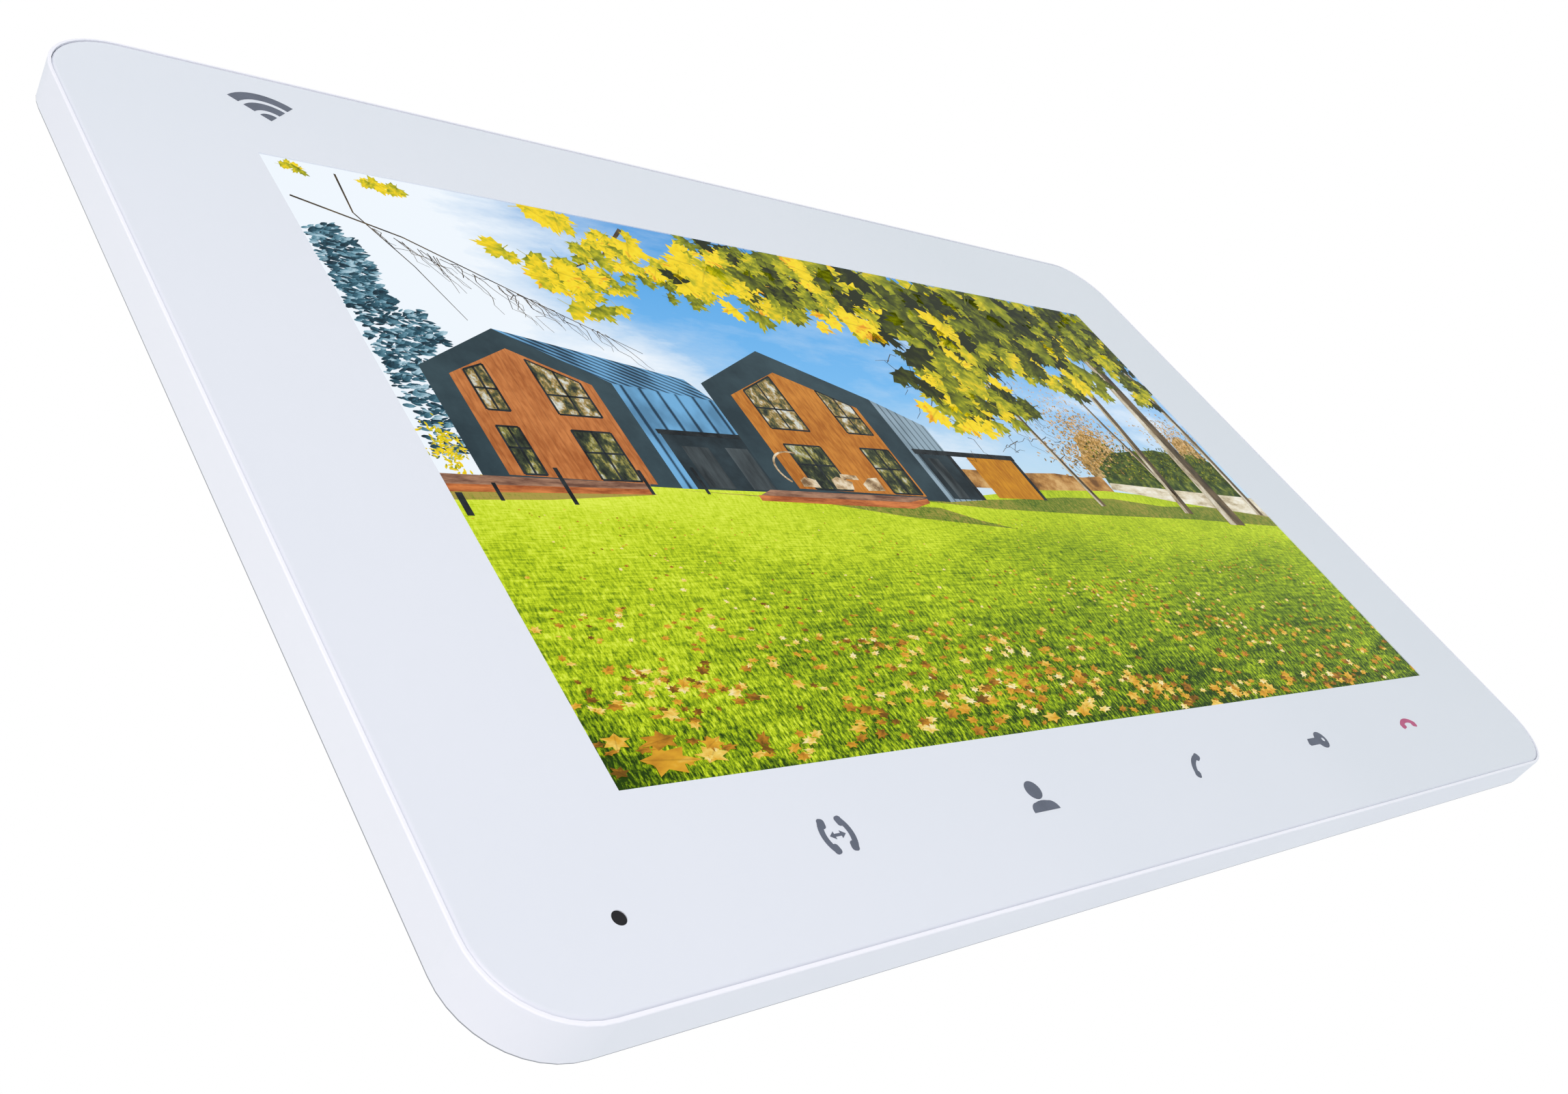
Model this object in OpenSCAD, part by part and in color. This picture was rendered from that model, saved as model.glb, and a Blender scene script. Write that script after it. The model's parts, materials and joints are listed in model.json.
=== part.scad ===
// Wall-mounted video intercom monitor on its steel bracket, in millimetres.
// X runs to the right, Z up, and the face looks towards -Y. The wall is the plane Y = 0,
// and the origin is the centre of the bracket's screw pattern on that plane.

/* [Front shell] */
// Width of the front shell
shell_w = 278; // [272:0.1:336]
// Height of the front shell
shell_h = 176.8; // [174:0.1:214]
// Depth from the wall to the front face
total_d = 24; // [23:0.1:30]
// Corner radius of the front shell, seen from the front
shell_r = 12.8; // [10.5:0.1:16]
// Depth of the side band
shell_d = 7; // [6.2:0.1:9]
// Wall of the side band
shell_wall = 2; // [1.6:0.1:2.4]
// Rounding of the side band's front and back edges
shell_edge = 0.2; // [0.1:0.05:0.24]
// Width of the thin rim round the front panel
rim_w = 0.5; // [0.4:0.1:1]
// Reach of the ledge behind the front panel, from the outer edge
ledge_w = 5.5; // [4.5:0.1:6.6]
// Thickness of the ledge
ledge_t = 1.5; // [1.2:0.1:1.9]

/* [Front panel] */
// Thickness of the front panel
panel_t = 2; // [1.6:0.1:2.4]
// Rounding of the front panel's edge
panel_edge = 0.6; // [0.3:0.1:0.8]
// Thickness of the panel in front of the display module
skin_t = 1; // [0.8:0.05:1.2]
// Diameter of the microphone hole
mic_hole_d = 1.9; // [1.5:0.1:2.4]
// Distance of the microphone hole from the left edge of the shell
mic_from_left = 18.9; // [16:0.1:24]
// Distance of the microphone hole from the bottom edge of the shell
mic_from_bottom = 10.9; // [9:0.1:13.1]

/* [Display] */
// Width of the visible picture
view_w = 222.72; // [185:0.01:223]
// Height of the visible picture
view_h = 125.28; // [104:0.01:126]
// Height of the picture's centre above the shell's centre
view_z = 0.6; // [-1:0.1:2]
// Reach of the display module past the picture, at its left and right
module_side = 6.14; // [5.5:0.01:7.4]
// Reach of the display module past the picture's upper edge
module_high = 6.22; // [5.2:0.01:7.5]
// Reach of the display module past the picture's lower edge
module_low = 5.5; // [4.6:0.1:6]
// Thickness of the display cell
cell_t = 1.3; // [1:0.1:1.6]
// Thickness of the light guide
guide_t = 2; // [1.6:0.1:2.4]

/* [Touch keys] */
// Places of the five keys to the left and right of the middle
key_x = [-83.5, -42, 2, 45.4, 85.4];
// Distance from the picture's lower edge down to the key row
key_drop = 10.9; // [10.6:0.1:13.1]
// Height of the touch springs between panel and key board
spring_h = 1.4; // [1.1:0.1:1.7]
// Radius of the touch springs
spring_r = 3; // [2.4:0.1:3.6]

/* [Rear cover] */
// Width of the rear box
box_w = 244; // [243:0.5:252]
// Height of the rear box
box_h = 150; // [148:0.5:154]
// Corner radius of the rear box
box_r = 8; // [6.5:0.5:10]
// Rounding of the rear box's back edge
box_edge = 2.5; // [1:0.5:3]
// Wall of the rear cover
box_wall = 2; // [1.6:0.1:2.4]
// Thickness of the flange that closes the front shell
flange_t = 2.4; // [2:0.1:2.9]
// Inner width of the wire pocket
pocket_w = 44; // [36.5:0.5:53]
// Inner height of the wire pocket
pocket_h = 56; // [46.5:0.5:67]
// Height of the bosses that carry the main board
boss_h = 8.5; // [7:0.1:10.2]

/* [Main board] */
// Width of the main board
board_w = 150; // [140:1:180]
// Height of the main board
board_h = 120; // [118:1:143]
// Thickness of the main board
board_t = 1.6; // [1.2:0.1:2]

/* [Wall bracket] */
// Width of the bracket plate
bracket_w = 150; // [125:1:156]
// Height of the bracket plate
bracket_h = 100; // [90:1:120]
// Thickness of the bracket steel
bracket_t = 1.2; // [1:0.1:1.5]
// Distance between the two wall box screws
box_screw_span = 60; // [60:0.1:62]
// Distance of the corner slots from the plate's left and right edges
slot_edge_x = 12; // [10:0.5:14.5]
// Distance of the corner slots from the plate's top and bottom edges
slot_edge_z = 8; // [6.5:0.5:10]
// Distance of the hooks from the plate's left and right edges
hook_edge = 7; // [6:0.1:8.4]
// Height that the monitor is lifted to clear the hooks
hook_rise = 7; // [5:0.1:8.4]

/* [Moving pieces] */
// Travel of the reset plunger
reset_travel = 0.25; // [0.15:0.05:0.4]
// Travel of the power switch knob
power_travel = 2; // [1.5:0.1:2.5]

/* [Fits] */
// Gap between neighbouring pieces that only lie beside each other
seat_gap = 0.15; // [0.1:0.05:0.2]
// Gap round the lens and between panel and rim
fine_gap = 0.05; // [0.03:0.01:0.1]
// Radial gap round screws and round the reset plunger
screw_gap = 0.05; // [0.03:0.01:0.1]
// Gap round pieces that slide
slide_gap = 0.1; // [0.08:0.01:0.2]
// Gap between the monitor's back and the bracket, and behind the hooks
back_gap = 0.3; // [0.2:0.05:0.5]
// Gap that the bracket's cable window leaves at each side of the wire pocket
window_gap_x = 1; // [0.8:0.1:2]
// Gap that the bracket's cable window leaves above and below the wire pocket
window_gap_z = 2; // [1:0.1:4]

/* [Hidden] */
$fn = 64;

white = [0.89, 0.91, 0.95];
pale_grey = [0.80, 0.82, 0.85];
ink_grey = [0.39, 0.41, 0.47];
ink_red = [0.75, 0.35, 0.50];
steel = [0.62, 0.64, 0.67];
black = [0.07, 0.07, 0.08];
cream = [0.93, 0.90, 0.82];
board_green = [0.05, 0.32, 0.18];
gold = [0.83, 0.66, 0.30];
flex_orange = [0.80, 0.45, 0.12];

// Planes along Y, from the wall to the face
y_plate = -bracket_t;
y_back = y_plate - back_gap;
y_back_in = y_back - box_wall;
y_board_back = y_back_in - boss_h;
y_board = y_board_back - board_t;
y_face = -total_d;
y_skin = y_face + skin_t;
y_panel_back = y_face + panel_t;
tape_t = 0.1;
y_ledge = y_panel_back + tape_t;
y_ledge_back = y_ledge + ledge_t;
y_shell_back = y_face + shell_d;
y_flange = y_shell_back - flange_t;
bond_t = 0.3;
y_cell = y_skin + bond_t;
y_films = y_cell + cell_t;
films_t = 0.6;
y_guide = y_films + films_t;
y_tray = y_guide + guide_t;
tray_t = 0.4;
y_tray_back = y_tray + tray_t;
y_key_board = y_panel_back + spring_h;
key_board_t = 0.8;
y_key_board_back = y_key_board + key_board_t;

// Front panel and openings of the shell
ledge_post_r = 2.5;
panel_w = shell_w - 2 * (rim_w + fine_gap);
panel_h = shell_h - 2 * (rim_w + fine_gap);
panel_r = shell_r - rim_w - fine_gap;
ledge_opening = [shell_w - 2 * ledge_w, shell_h - 2 * ledge_w, shell_r - ledge_w];

// Display stack
module_w = view_w + 2 * module_side;
module_h = view_h + module_low + module_high;
module_bottom = view_z - view_h / 2 - module_low;
module_z = module_bottom + module_h / 2;
tray_in = [module_w - 2 * tray_t, module_h - 2 * tray_t];
cell_inset = [3.5, 3];
cell_size = [module_w - 2 * cell_inset.x, module_h - 2 * cell_inset.y];
stack_inset = 0.6;
stack_size = [cell_size.x - 2 * stack_inset, cell_size.y - 2 * stack_inset];
strip_t = 0.6;
led_t = 0.9;
led_w = 3.5;
led_inset = 0.3;
led_count = 24;
bond_lap = 0.5;
guide_h = stack_size.y - strip_t - led_t - 5 * fine_gap;

// Keys and symbols
key_z = view_z - view_h / 2 - key_drop;
key_board_h = 8.8;
key_board_end = 10.5;
key_board_w = key_x[4] - key_x[0] + 2 * key_board_end;
key_board_x = (key_x[0] + key_x[4]) / 2;
key_hole_r = spring_r + 0.5;
wire_r = 0.15;
wire_sides = 5;
coil_turns = 2.5;
coil_steps = 28;
coil_taper = 0.4;
ink_t = 0.04;
wave_x = -view_w / 2 + 5.8;
wave_z = view_z + view_h / 2 + 10.7;
mic_x = mic_from_left - shell_w / 2;
mic_z = mic_from_bottom - shell_h / 2;
mic_r = 3;
mic_t = 1.6;
boot_r = mic_r + 1;
screen_sink = 0.12;
screen_t = 0.2;
boot_t = 2.2;

// Rear box, its floor and what is fixed to it
box_in = [box_w - 2 * box_wall, box_h - 2 * box_wall, box_r - box_wall];
wall_z = -box_in.y / 2;
cover_w = shell_w - 2 * shell_wall - 2 * seat_gap;
cover_h = shell_h - 2 * shell_wall - 2 * seat_gap;
cover_r = shell_r - shell_wall - seat_gap;
pocket_floor_t = 1.6;
pocket_d = 6.9;
y_pocket = y_back - pocket_d;
board_x = 10;
board_low = wall_z + 1;
board_z = board_low + board_h / 2;
board_inset = 5;
boss_r = 3;
board_posts = [for (x = [-1, 0, 1], z = [-1, 1])
               [board_x + x * (board_w / 2 - board_inset), board_z + z * (board_h / 2 - board_inset)]];
board_screw_r = 1.25;
board_screw_l = boss_h - 0.9;
pad_r = 6;
pad_inset = [13, 12];
label_size = [34, 50];

// Main board: connectors [x, low edge, width], and what is soldered to its front and back
connector_d = 1.2;
connector_l = 4;
touch_connector = [0, module_bottom + 5.5, 14];
display_connector = [40, board_low + 60, 32];
flex_t = 0.15;
processor_place = [-36, -4];
processor_side = 17;
processor_t = 1.2;
shield_size = [34, 30, 2.2];
tin_t = 0.2;
// Packages: x, z, width, height, thickness
board_packages = [[0, 14, 9, 13, 1.1], [0, -4, 9, 13, 1.1], [30, 30, 12, 9, 1], [52, 30, 7, 7, 0.9],
                  [66, 4, 6, 5, 1.5], [66, -16, 6, 5, 1.5], [-44, 28, 8, 8, 1], [-20, -44, 10, 6, 1.4]];
can_r = 4;
can_h = boss_h - 1;
can_row_z = -22;
can_pitch_wide = 10;
can_spacing = 0.5;
coin_place = [-46, 22];
coin_r = 10;
coin_t = 3.2;
coin_holder_t = 4;
radio_place = [52, 32];
radio_size = [16, 20, 1];
radio_tin = [13, 13, 1.8];
antenna_x = 62;
antenna_size = [44, 8, 0.2];

// Case screws sit on the ledge, all round
case_screw_r = 1;
case_head_r = 1.9;
case_head_t = 1.3;
case_sink = 1.4;
case_inset = 5;
corner_reach = (shell_r - case_inset) * sin(45);
case_posts = concat(
    [for (x = [-1, 1], z = [-1, 1])
     [x * (shell_w / 2 - shell_r + corner_reach), z * (shell_h / 2 - shell_r + corner_reach)]],
    [for (s = [-1, 1]) [0, s * (shell_h / 2 - case_inset)]],
    [for (s = [-1, 1]) [s * (shell_w / 2 - case_inset), 0]]);

// Wire headers: place across, place up, number of pins
header_d = 5.75;
header_h = 7;
header_wall = 0.8;
header_floor = 2;
pin_pitch = 2.5;
pin_side = 0.64;
signal_headers = [for (x = [-10.5, 10.5], z = [17, 0]) [x, z, 4]];
supply_header = [0, -17, 2];
all_headers = concat(signal_headers, [supply_header]);
function header_w(pins) = pins * pin_pitch + 2.4;

// Memory card, reset switch and power switch, along the bottom edge of the main board.
// The card slides out until only its last millimetre is still in the socket.
card_size = [11, 1, 15];
card_x = 34;
card_proud = 1;
card_hold = 1;
card_low = wall_z - box_wall - card_proud;
card_travel = card_low + card_size.z - board_low - card_hold;
socket_size = [14, 1.9, card_travel + 5.5];
card_y = y_board_back + socket_size.y / 2;
reset_x = -8;
reset_size = [6.2, 3.4, 3.6];
reset_y = y_board_back + reset_size.y / 2;
plunger_r = 0.9;
plunger_l = 3.4;
plunger_low = wall_z + 0.4;
power_x = -36;
power_size = [8.6, 3.6, 4];
power_y = y_board_back + power_size.y / 2;
knob_base = [4.4, 1.8, 1.6];
knob_stem = [1.8, 1.6];
knob_base_low = board_low + 1.2;

// Speaker
speaker_x = -93;
speaker_z = -35;
speaker_r = 18;
speaker_rim = 2.5;
cone_r = speaker_r - 1.6;
gasket_t = 0.5;
basket_d = 4.5;
magnet_r = 9;
magnet_t = 3;
speaker_ring_t = 1.2;
speaker_slot_pitch = 4;
y_basket = y_back_in - gasket_t;

// Bracket: cable window, screw slots and hooks; the monitor is lifted by lift_travel to come off
window_w = pocket_w + 2 * window_gap_x;
window_h = pocket_h + 2 * window_gap_z;
slot_span_x = bracket_w - 2 * slot_edge_x;
slot_span_z = bracket_h - 2 * slot_edge_z;
screw_slot = [8, 4.5];
hook_span = bracket_w - 2 * hook_edge;
hook_neck = 4;
hook_low = [20, -31];
hook_t = 1.2;
hook_tip_t = 1.8;
hook_h = hook_neck + hook_rise;
y_hook_tip = y_back_in - back_gap;
hook_slot_w = 2.4;
lift_travel = hook_rise + back_gap;

// Capacitors: a row of three between the wire pocket and the hooks, drawn together where room is short
can_row_end = hook_span / 2 - can_pitch_wide;
can_row_start = pocket_w / 2 + box_wall + can_r + can_spacing;
can_pitch = min(can_pitch_wide, (can_row_end - can_row_start) / 2);
can_places = [for (i = [0:2]) [can_row_end - i * can_pitch, can_row_z]];

// ---- Shared shapes ----

// A flat layer with its front face at y and its drawing in the X-Z plane
module layer(y, t) {
    translate([0, y + t, 0]) rotate([90, 0, 0]) linear_extrude(t) children();
}

module round_rect(w, h, r) {
    square([w - 2 * r, h], center = true);
    square([w, h - 2 * r], center = true);
    for (x = [-1, 1], y = [-1, 1])
        translate([x * (w / 2 - r), y * (h / 2 - r)]) circle(r);
}

module block(x, y, z, size) {
    translate([x, y, z]) cube(size);
}

// Cross-section of a plate of width w: thickness t along Y, rounded at the top and bottom edges
module edge_section(w, t, top, bottom) {
    translate([-w / 2, bottom]) square([w, t - top - bottom]);
    translate([top - w / 2, bottom]) square([w - 2 * top, t - bottom]);
    translate([bottom - w / 2, 0]) square([w - 2 * bottom, t - top]);
    for (s = [-1, 1]) {
        if (top > 0) translate([s * (w / 2 - top), t - top]) circle(top);
        if (bottom > 0) translate([s * (w / 2 - bottom), bottom]) circle(bottom);
    }
}

// Round-cornered plate with its front face at y and rounded front and back edges
module soft_plate(y, w, h, r, t, front, back) {
    translate([0, y + t, 0]) rotate([90, 0, 0]) {
        translate([0, h / 2 - r, 0]) rotate([90, 0, 0])
            linear_extrude(h - 2 * r) edge_section(w, t, front, back);
        translate([r - w / 2, 0, 0]) rotate([90, 0, 90])
            linear_extrude(w - 2 * r) edge_section(h, t, front, back);
        for (turn = [0, 90, 180, 270])
            translate([(turn == 0 || turn == 270 ? 1 : -1) * (w / 2 - r),
                       (turn < 180 ? 1 : -1) * (h / 2 - r), 0])
                rotate([0, 0, turn]) rotate_extrude(angle = 90) intersection() {
                    edge_section(2 * r, t, front, back);
                    square([r, t]);
                }
    }
}

// Crossed driver recess in a screw head
module cross_recess(size) {
    square([size, size / 4], center = true);
    square([size / 4, size], center = true);
}

// Tin of thin sheet whose open side lies on the plane y; grow is -1 forwards, 1 backwards
module tin(place, size, y, grow) {
    front = grow > 0 ? y : y - size.z;
    translate([place.x, 0, place.y]) difference() {
        layer(front, size.z) square([size.x, size.y], center = true);
        layer(grow > 0 ? y - 1 : front + tin_t, size.z - tin_t + 1)
            square([size.x - 2 * tin_t, size.y - 2 * tin_t], center = true);
    }
}

// Flat flex strip through points [y, z], width w
module flex_strip(x, w, path, t) {
    far = [for (i = [len(path) - 1:-1:0]) path[i] + [t, 0]];
    translate([x - w / 2, 0, 0]) rotate([90, 0, 90]) linear_extrude(w) polygon(concat(path, far));
}

// ---- Symbols ----

// Telephone handset with its back upwards, centred
module handset(w, h, grip, ear_w, ear_h) {
    drop = 0.55 * h;
    bend_r = (w * w / 4 + drop * drop) / (2 * drop);
    translate([0, h / 2]) {
        intersection() {
            translate([0, -bend_r]) difference() {
                circle(bend_r);
                circle(bend_r - grip);
            }
            translate([-w / 2, -h + ear_h / 2]) square([w, h]);
        }
        for (s = [-1, 1])
            translate([s * (w - ear_w) / 2, ear_h / 2 - h]) rotate(-12 * s)
                round_rect(ear_w, ear_h, 0.4 * ear_h);
    }
}

module transfer_symbol() {
    for (s = [-1, 1])
        translate([1.9 * s, 0]) rotate(-90 * s) handset(5.3, 1.8, 0.9, 1.5, 1.2);
    square([1.6, 0.42], center = true);
    for (s = [-1, 1])
        polygon([[1.4 * s, 0], [0.55 * s, 0.58], [0.55 * s, -0.58]]);
}

module person_symbol() {
    foot = -2.65;
    shoulder_r = 1.6;
    shoulder_x = 1.45;
    crown_r = 5.4;
    crown = foot + shoulder_r + 0.2;
    translate([0, 1]) circle(1.6);
    intersection() {
        union() {
            for (s = [-1, 1]) translate([s * shoulder_x, foot]) circle(shoulder_r);
            intersection() {
                translate([0, crown - crown_r]) circle(crown_r);
                square([2 * shoulder_x, 10], center = true);
            }
        }
        translate([-5, foot]) square([10, 5]);
    }
}

module talk_symbol() {
    rotate(43) handset(6.1, 1.9, 0.95, 1.6, 1.3);
}

module key_symbol() {
    difference() {
        union() {
            translate([1.8, 0]) circle(1.85);
            polygon([[-3.6, -0.35], [-2.9, 0.7], [0, 0.7], [0.9, 1.5], [0.9, -1.5], [0, -0.8], [-3.3, -0.8]]);
        }
        translate([2.5, 0]) circle(0.45);
    }
}

module wave_symbol() {
    reach = 7.9;
    for (band = [[0, 2], [3, 5], [5.95, reach]])
        intersection() {
            difference() {
                circle(band[1]);
                if (band[0] > 0) circle(band[0]);
            }
            polygon([[0, 0], [2 * reach, 2 * reach], [-2 * reach, 2 * reach]]);
        }
}

// ---- Wall bracket ----

// Hook outline [y, z] above its lowest point: a neck through the cover and a tip behind its wall
module hook(low) {
    lead = 1;
    tip = y_hook_tip - hook_tip_t;
    rotate([90, 0, 90]) linear_extrude(hook_t, center = true)
        polygon([[y_plate / 2, low], [tip, low], [tip, low + hook_h - lead],
                 [tip + lead, low + hook_h], [y_hook_tip, low + hook_h],
                 [y_hook_tip, low + hook_neck], [y_plate / 2, low + hook_neck]]);
}

module wall_bracket() {
    relief = [-y_hook_tip + hook_tip_t, hook_h];
    color(steel) {
        layer(y_plate, bracket_t) difference() {
            round_rect(bracket_w, bracket_h, 6);
            round_rect(window_w, window_h, 2);
            for (s = [-1, 1]) translate([s * box_screw_span / 2, 0]) circle(screw_slot.y / 2);
            for (x = [-1, 1], z = [-1, 1])
                translate([x * slot_span_x / 2, z * slot_span_z / 2])
                    round_rect(screw_slot.x, screw_slot.y, screw_slot.y / 2 - 0.001);
            for (s = [-1, 1], low = hook_low)
                translate([s * (hook_span / 2 - hook_t / 2 - relief.x / 2), low + relief.y / 2])
                    square(relief, center = true);
        }
        for (s = [-1, 1], low = hook_low) translate([s * hook_span / 2, 0, 0]) hook(low);
    }
}

// ---- Casing ----

// Room that the ledge and the tape leave round the microphone's boot
module boot_room() {
    translate([mic_x, mic_z]) circle(boot_r + seat_gap);
}

module front_shell() {
    color(white) difference() {
        union() {
            difference() {
                soft_plate(y_face, shell_w, shell_h, shell_r, shell_d, shell_edge, shell_edge);
                layer(y_face - 1, y_ledge - y_face + 1)
                    round_rect(shell_w - 2 * rim_w, shell_h - 2 * rim_w, shell_r - rim_w);
                layer(y_face, shell_d) round_rect(ledge_opening.x, ledge_opening.y, ledge_opening.z);
                layer(y_ledge_back, shell_d)
                    round_rect(shell_w - 2 * shell_wall, shell_h - 2 * shell_wall, shell_r - shell_wall);
            }
            layer(y_ledge, y_flange - y_ledge)
                for (post = case_posts) translate(post) circle(ledge_post_r);
        }
        layer(y_face, shell_d) {
            for (post = case_posts) translate(post) circle(case_screw_r + screw_gap);
            boot_room();
        }
    }
}

module front_panel() {
    color(white) difference() {
        soft_plate(y_face, panel_w, panel_h, panel_r, panel_t, panel_edge, 0);
        layer(y_face - 1, panel_t + 2) view_area(fine_gap);
        layer(y_skin, panel_t) translate([0, module_z])
            square([module_w + 2 * seat_gap, module_h + 2 * seat_gap], center = true);
        layer(y_face - 1, panel_t + 2) translate([mic_x, mic_z]) circle(mic_hole_d / 2);
    }
}

// Wall behind the bracket: vents, speaker slots and hook slots
module back_wall_cuts() {
    for (x = [-66:12:66]) translate([x, box_h / 2 - 14]) round_rect(2, 12, 0.99);
    translate([speaker_x, speaker_z])
        for (i = [-3:3]) {
            x = i * speaker_slot_pitch;
            slot_h = 2 * sqrt(pow(speaker_r - speaker_rim - 1, 2) - x * x);
            translate([x, 0]) round_rect(1.6, slot_h, 0.79);
        }
    for (s = [-1, 1], low = hook_low)
        translate([s * hook_span / 2 - hook_slot_w / 2, low - lift_travel - back_gap])
            square([hook_slot_w, hook_neck + lift_travel + back_gap]);
}

module rear_cover() {
    pocket_wall = 1.6;
    color(white) difference() {
        union() {
            difference() {
                union() {
                    layer(y_flange, flange_t) round_rect(cover_w, cover_h, cover_r);
                    soft_plate(y_flange, box_w, box_h, box_r, y_back - y_flange, 0, box_edge);
                }
                layer(y_flange - 1, y_back_in - y_flange + 1) round_rect(box_in.x, box_in.y, box_in.z);
            }
            layer(y_pocket - pocket_floor_t, y_back - y_pocket + pocket_floor_t)
                square([pocket_w + 2 * pocket_wall, pocket_h + 2 * pocket_wall], center = true);
            layer(y_board_back, boss_h + box_wall / 2)
                for (post = board_posts) translate(post) circle(boss_r);
            layer(y_basket - gasket_t, 2 * gasket_t + box_wall / 2)
                translate([speaker_x, speaker_z]) difference() {
                    circle(speaker_r + seat_gap + speaker_ring_t);
                    circle(speaker_r + seat_gap);
                }
        }
        layer(y_pocket, pocket_d + 1) square([pocket_w, pocket_h], center = true);
        layer(y_pocket - 2 * pocket_floor_t, 3 * pocket_floor_t)
            for (h = all_headers) translate([h[0], h[1]])
                square([header_w(h[2]) + 2 * back_gap, header_d + 2 * back_gap], center = true);
        layer(y_board_back - 1, board_screw_l + 1)
            for (post = board_posts) translate(post) circle(board_screw_r + screw_gap);
        layer(y_back_in - 1, box_wall + 2) back_wall_cuts();
        layer(y_flange - 1, flange_t + 2)
            for (post = case_posts) translate(post) circle(case_screw_r + screw_gap);
        layer(y_shell_back - case_sink, case_sink + 1)
            for (post = case_posts) translate(post) circle(case_head_r + seat_gap);
        // Relief in the flange, for a key board that reaches back to it
        layer(y_flange - 1, y_key_board_back + seat_gap - y_flange + 1) key_strip(seat_gap);
        // Bottom wall: card slot, reset pin hole and knob slot
        wall_block(card_x, card_y, card_size.x + 4 * slide_gap, card_size.y + 4 * slide_gap);
        translate([reset_x, reset_y, wall_z - box_wall - 1]) cylinder(box_wall + 2, r = plunger_r);
        wall_block(power_x + power_travel / 2, power_y,
                   knob_stem.x + power_travel + 4 * slide_gap, knob_stem.y + 4 * slide_gap);
    }
}

// Box through the bottom wall, centred on x and y
module wall_block(x, y, w, d) {
    block(x - w / 2, y - d / 2, wall_z - box_wall - 1, [w, d, box_wall + 2]);
}

module case_screws() {
    y_head = y_shell_back - case_sink;
    color(steel) for (post = case_posts) translate([post.x, 0, post.y]) {
        difference() {
            layer(y_head, case_head_t) circle(case_head_r);
            layer(y_head + case_head_t - 0.8, 1) cross_recess(2.2);
        }
        layer(y_panel_back + 0.2, y_head - y_panel_back - 0.2) circle(case_screw_r);
    }
}

module rear_pads() {
    color(black) layer(y_back, -y_back - 0.2)
        for (x = [-1, 1], z = [-1, 1])
            translate([x * (box_w / 2 - pad_inset.x), z * (box_h / 2 - pad_inset.y)]) circle(pad_r);
}

module rating_label() {
    label_t = 0.1;
    color(pale_grey) layer(y_back, label_t) translate([(bracket_w + box_w) / 4, 0])
        round_rect(label_size.x, label_size.y, 1.5);
}

// ---- Front panel and its printing ----

module grey_symbols() {
    color(ink_grey) layer(y_face - ink_t, ink_t) {
        translate([key_x[0], key_z]) transfer_symbol();
        translate([key_x[1], key_z]) person_symbol();
        translate([key_x[2], key_z]) talk_symbol();
        translate([key_x[3], key_z]) key_symbol();
        translate([wave_x, wave_z]) wave_symbol();
    }
}

module hang_up_symbol() {
    color(ink_red) layer(y_face - ink_t, ink_t)
        translate([key_x[4], key_z]) handset(6.7, 2.3, 1.05, 1.9, 1.2);
}

module panel_tape() {
    color(black) layer(y_panel_back, tape_t) difference() {
        round_rect(panel_w, panel_h, panel_r);
        round_rect(ledge_opening.x, ledge_opening.y, ledge_opening.z);
        boot_room();
    }
}

// ---- Display ----

module view_area(lap) {
    translate([0, view_z]) square([view_w + 2 * lap, view_h + 2 * lap], center = true);
}

module display_lens() {
    color("midnightblue") layer(y_face, skin_t) view_area(0);
}

module optical_bond() {
    color(pale_grey) layer(y_skin, bond_t) view_area(bond_lap);
}

module window_gasket() {
    color(black) layer(y_skin, bond_t) difference() {
        translate([0, module_z]) square([module_w, module_h], center = true);
        view_area(bond_lap + seat_gap);
    }
}

module display_cell() {
    color([0.12, 0.13, 0.16]) layer(y_cell, cell_t) translate([0, module_z]) square(cell_size, center = true);
}

module diffuser_films() {
    color(white) layer(y_films, films_t) translate([0, module_z])
        square([stack_size.x, stack_size.y], center = true);
}

module light_guide() {
    color([0.85, 0.92, 0.97]) layer(y_guide, guide_t)
        translate([0, module_z + (stack_size.y - guide_h) / 2])
            square([stack_size.x, guide_h], center = true);
}

module backlight_strip() {
    color(cream) layer(y_guide, guide_t)
        translate([0, module_z - (stack_size.y - strip_t) / 2])
            square([stack_size.x, strip_t], center = true);
}

module backlight_leds() {
    pitch = stack_size.x / led_count;
    low = module_z - stack_size.y / 2 + strip_t;
    color("gold") for (i = [0:led_count - 1])
        block((i + 0.5) * pitch - (stack_size.x + led_w) / 2, y_guide + led_inset, low,
              [led_w, guide_t - 2 * led_inset, led_t]);
}

module module_frame() {
    gap = [2 * fine_gap, 2 * fine_gap];
    color(white) translate([0, 0, module_z]) difference() {
        layer(y_cell, y_tray - y_cell) square(tray_in - gap, center = true);
        layer(y_cell - 1, y_tray - y_cell + 2) square(stack_size + gap, center = true);
        layer(y_cell - 1, cell_t + 1) square(cell_size + gap, center = true);
    }
}

module display_tray() {
    color(steel) difference() {
        layer(y_cell, y_tray_back - y_cell)
            translate([0, module_z]) square([module_w, module_h], center = true);
        layer(y_cell - 1, y_tray - y_cell + 1)
            translate([0, module_z]) square(tray_in, center = true);
    }
}

// ---- Touch keys ----

module key_strip(gap = 0) {
    translate([key_board_x, key_z]) square([key_board_w + 2 * gap, key_board_h + 2 * gap], center = true);
}

module key_board() {
    color(board_green) layer(y_key_board, key_board_t) key_strip();
}

module key_foam() {
    color(black) layer(y_panel_back, spring_h) difference() {
        key_strip();
        for (x = key_x) translate([x, key_z]) circle(key_hole_r);
    }
}

// Point of the spring wire: s runs from 0 at the board to 1 at the panel, b round the wire
function wire_point(s, b) =
    let (a = 360 * coil_turns * s, r = spring_r - coil_taper * s - wire_r + wire_r * cos(b))
    [r * cos(a), y_key_board - wire_r - s * (spring_h - 2 * wire_r) + wire_r * sin(b), r * sin(a)];

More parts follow.
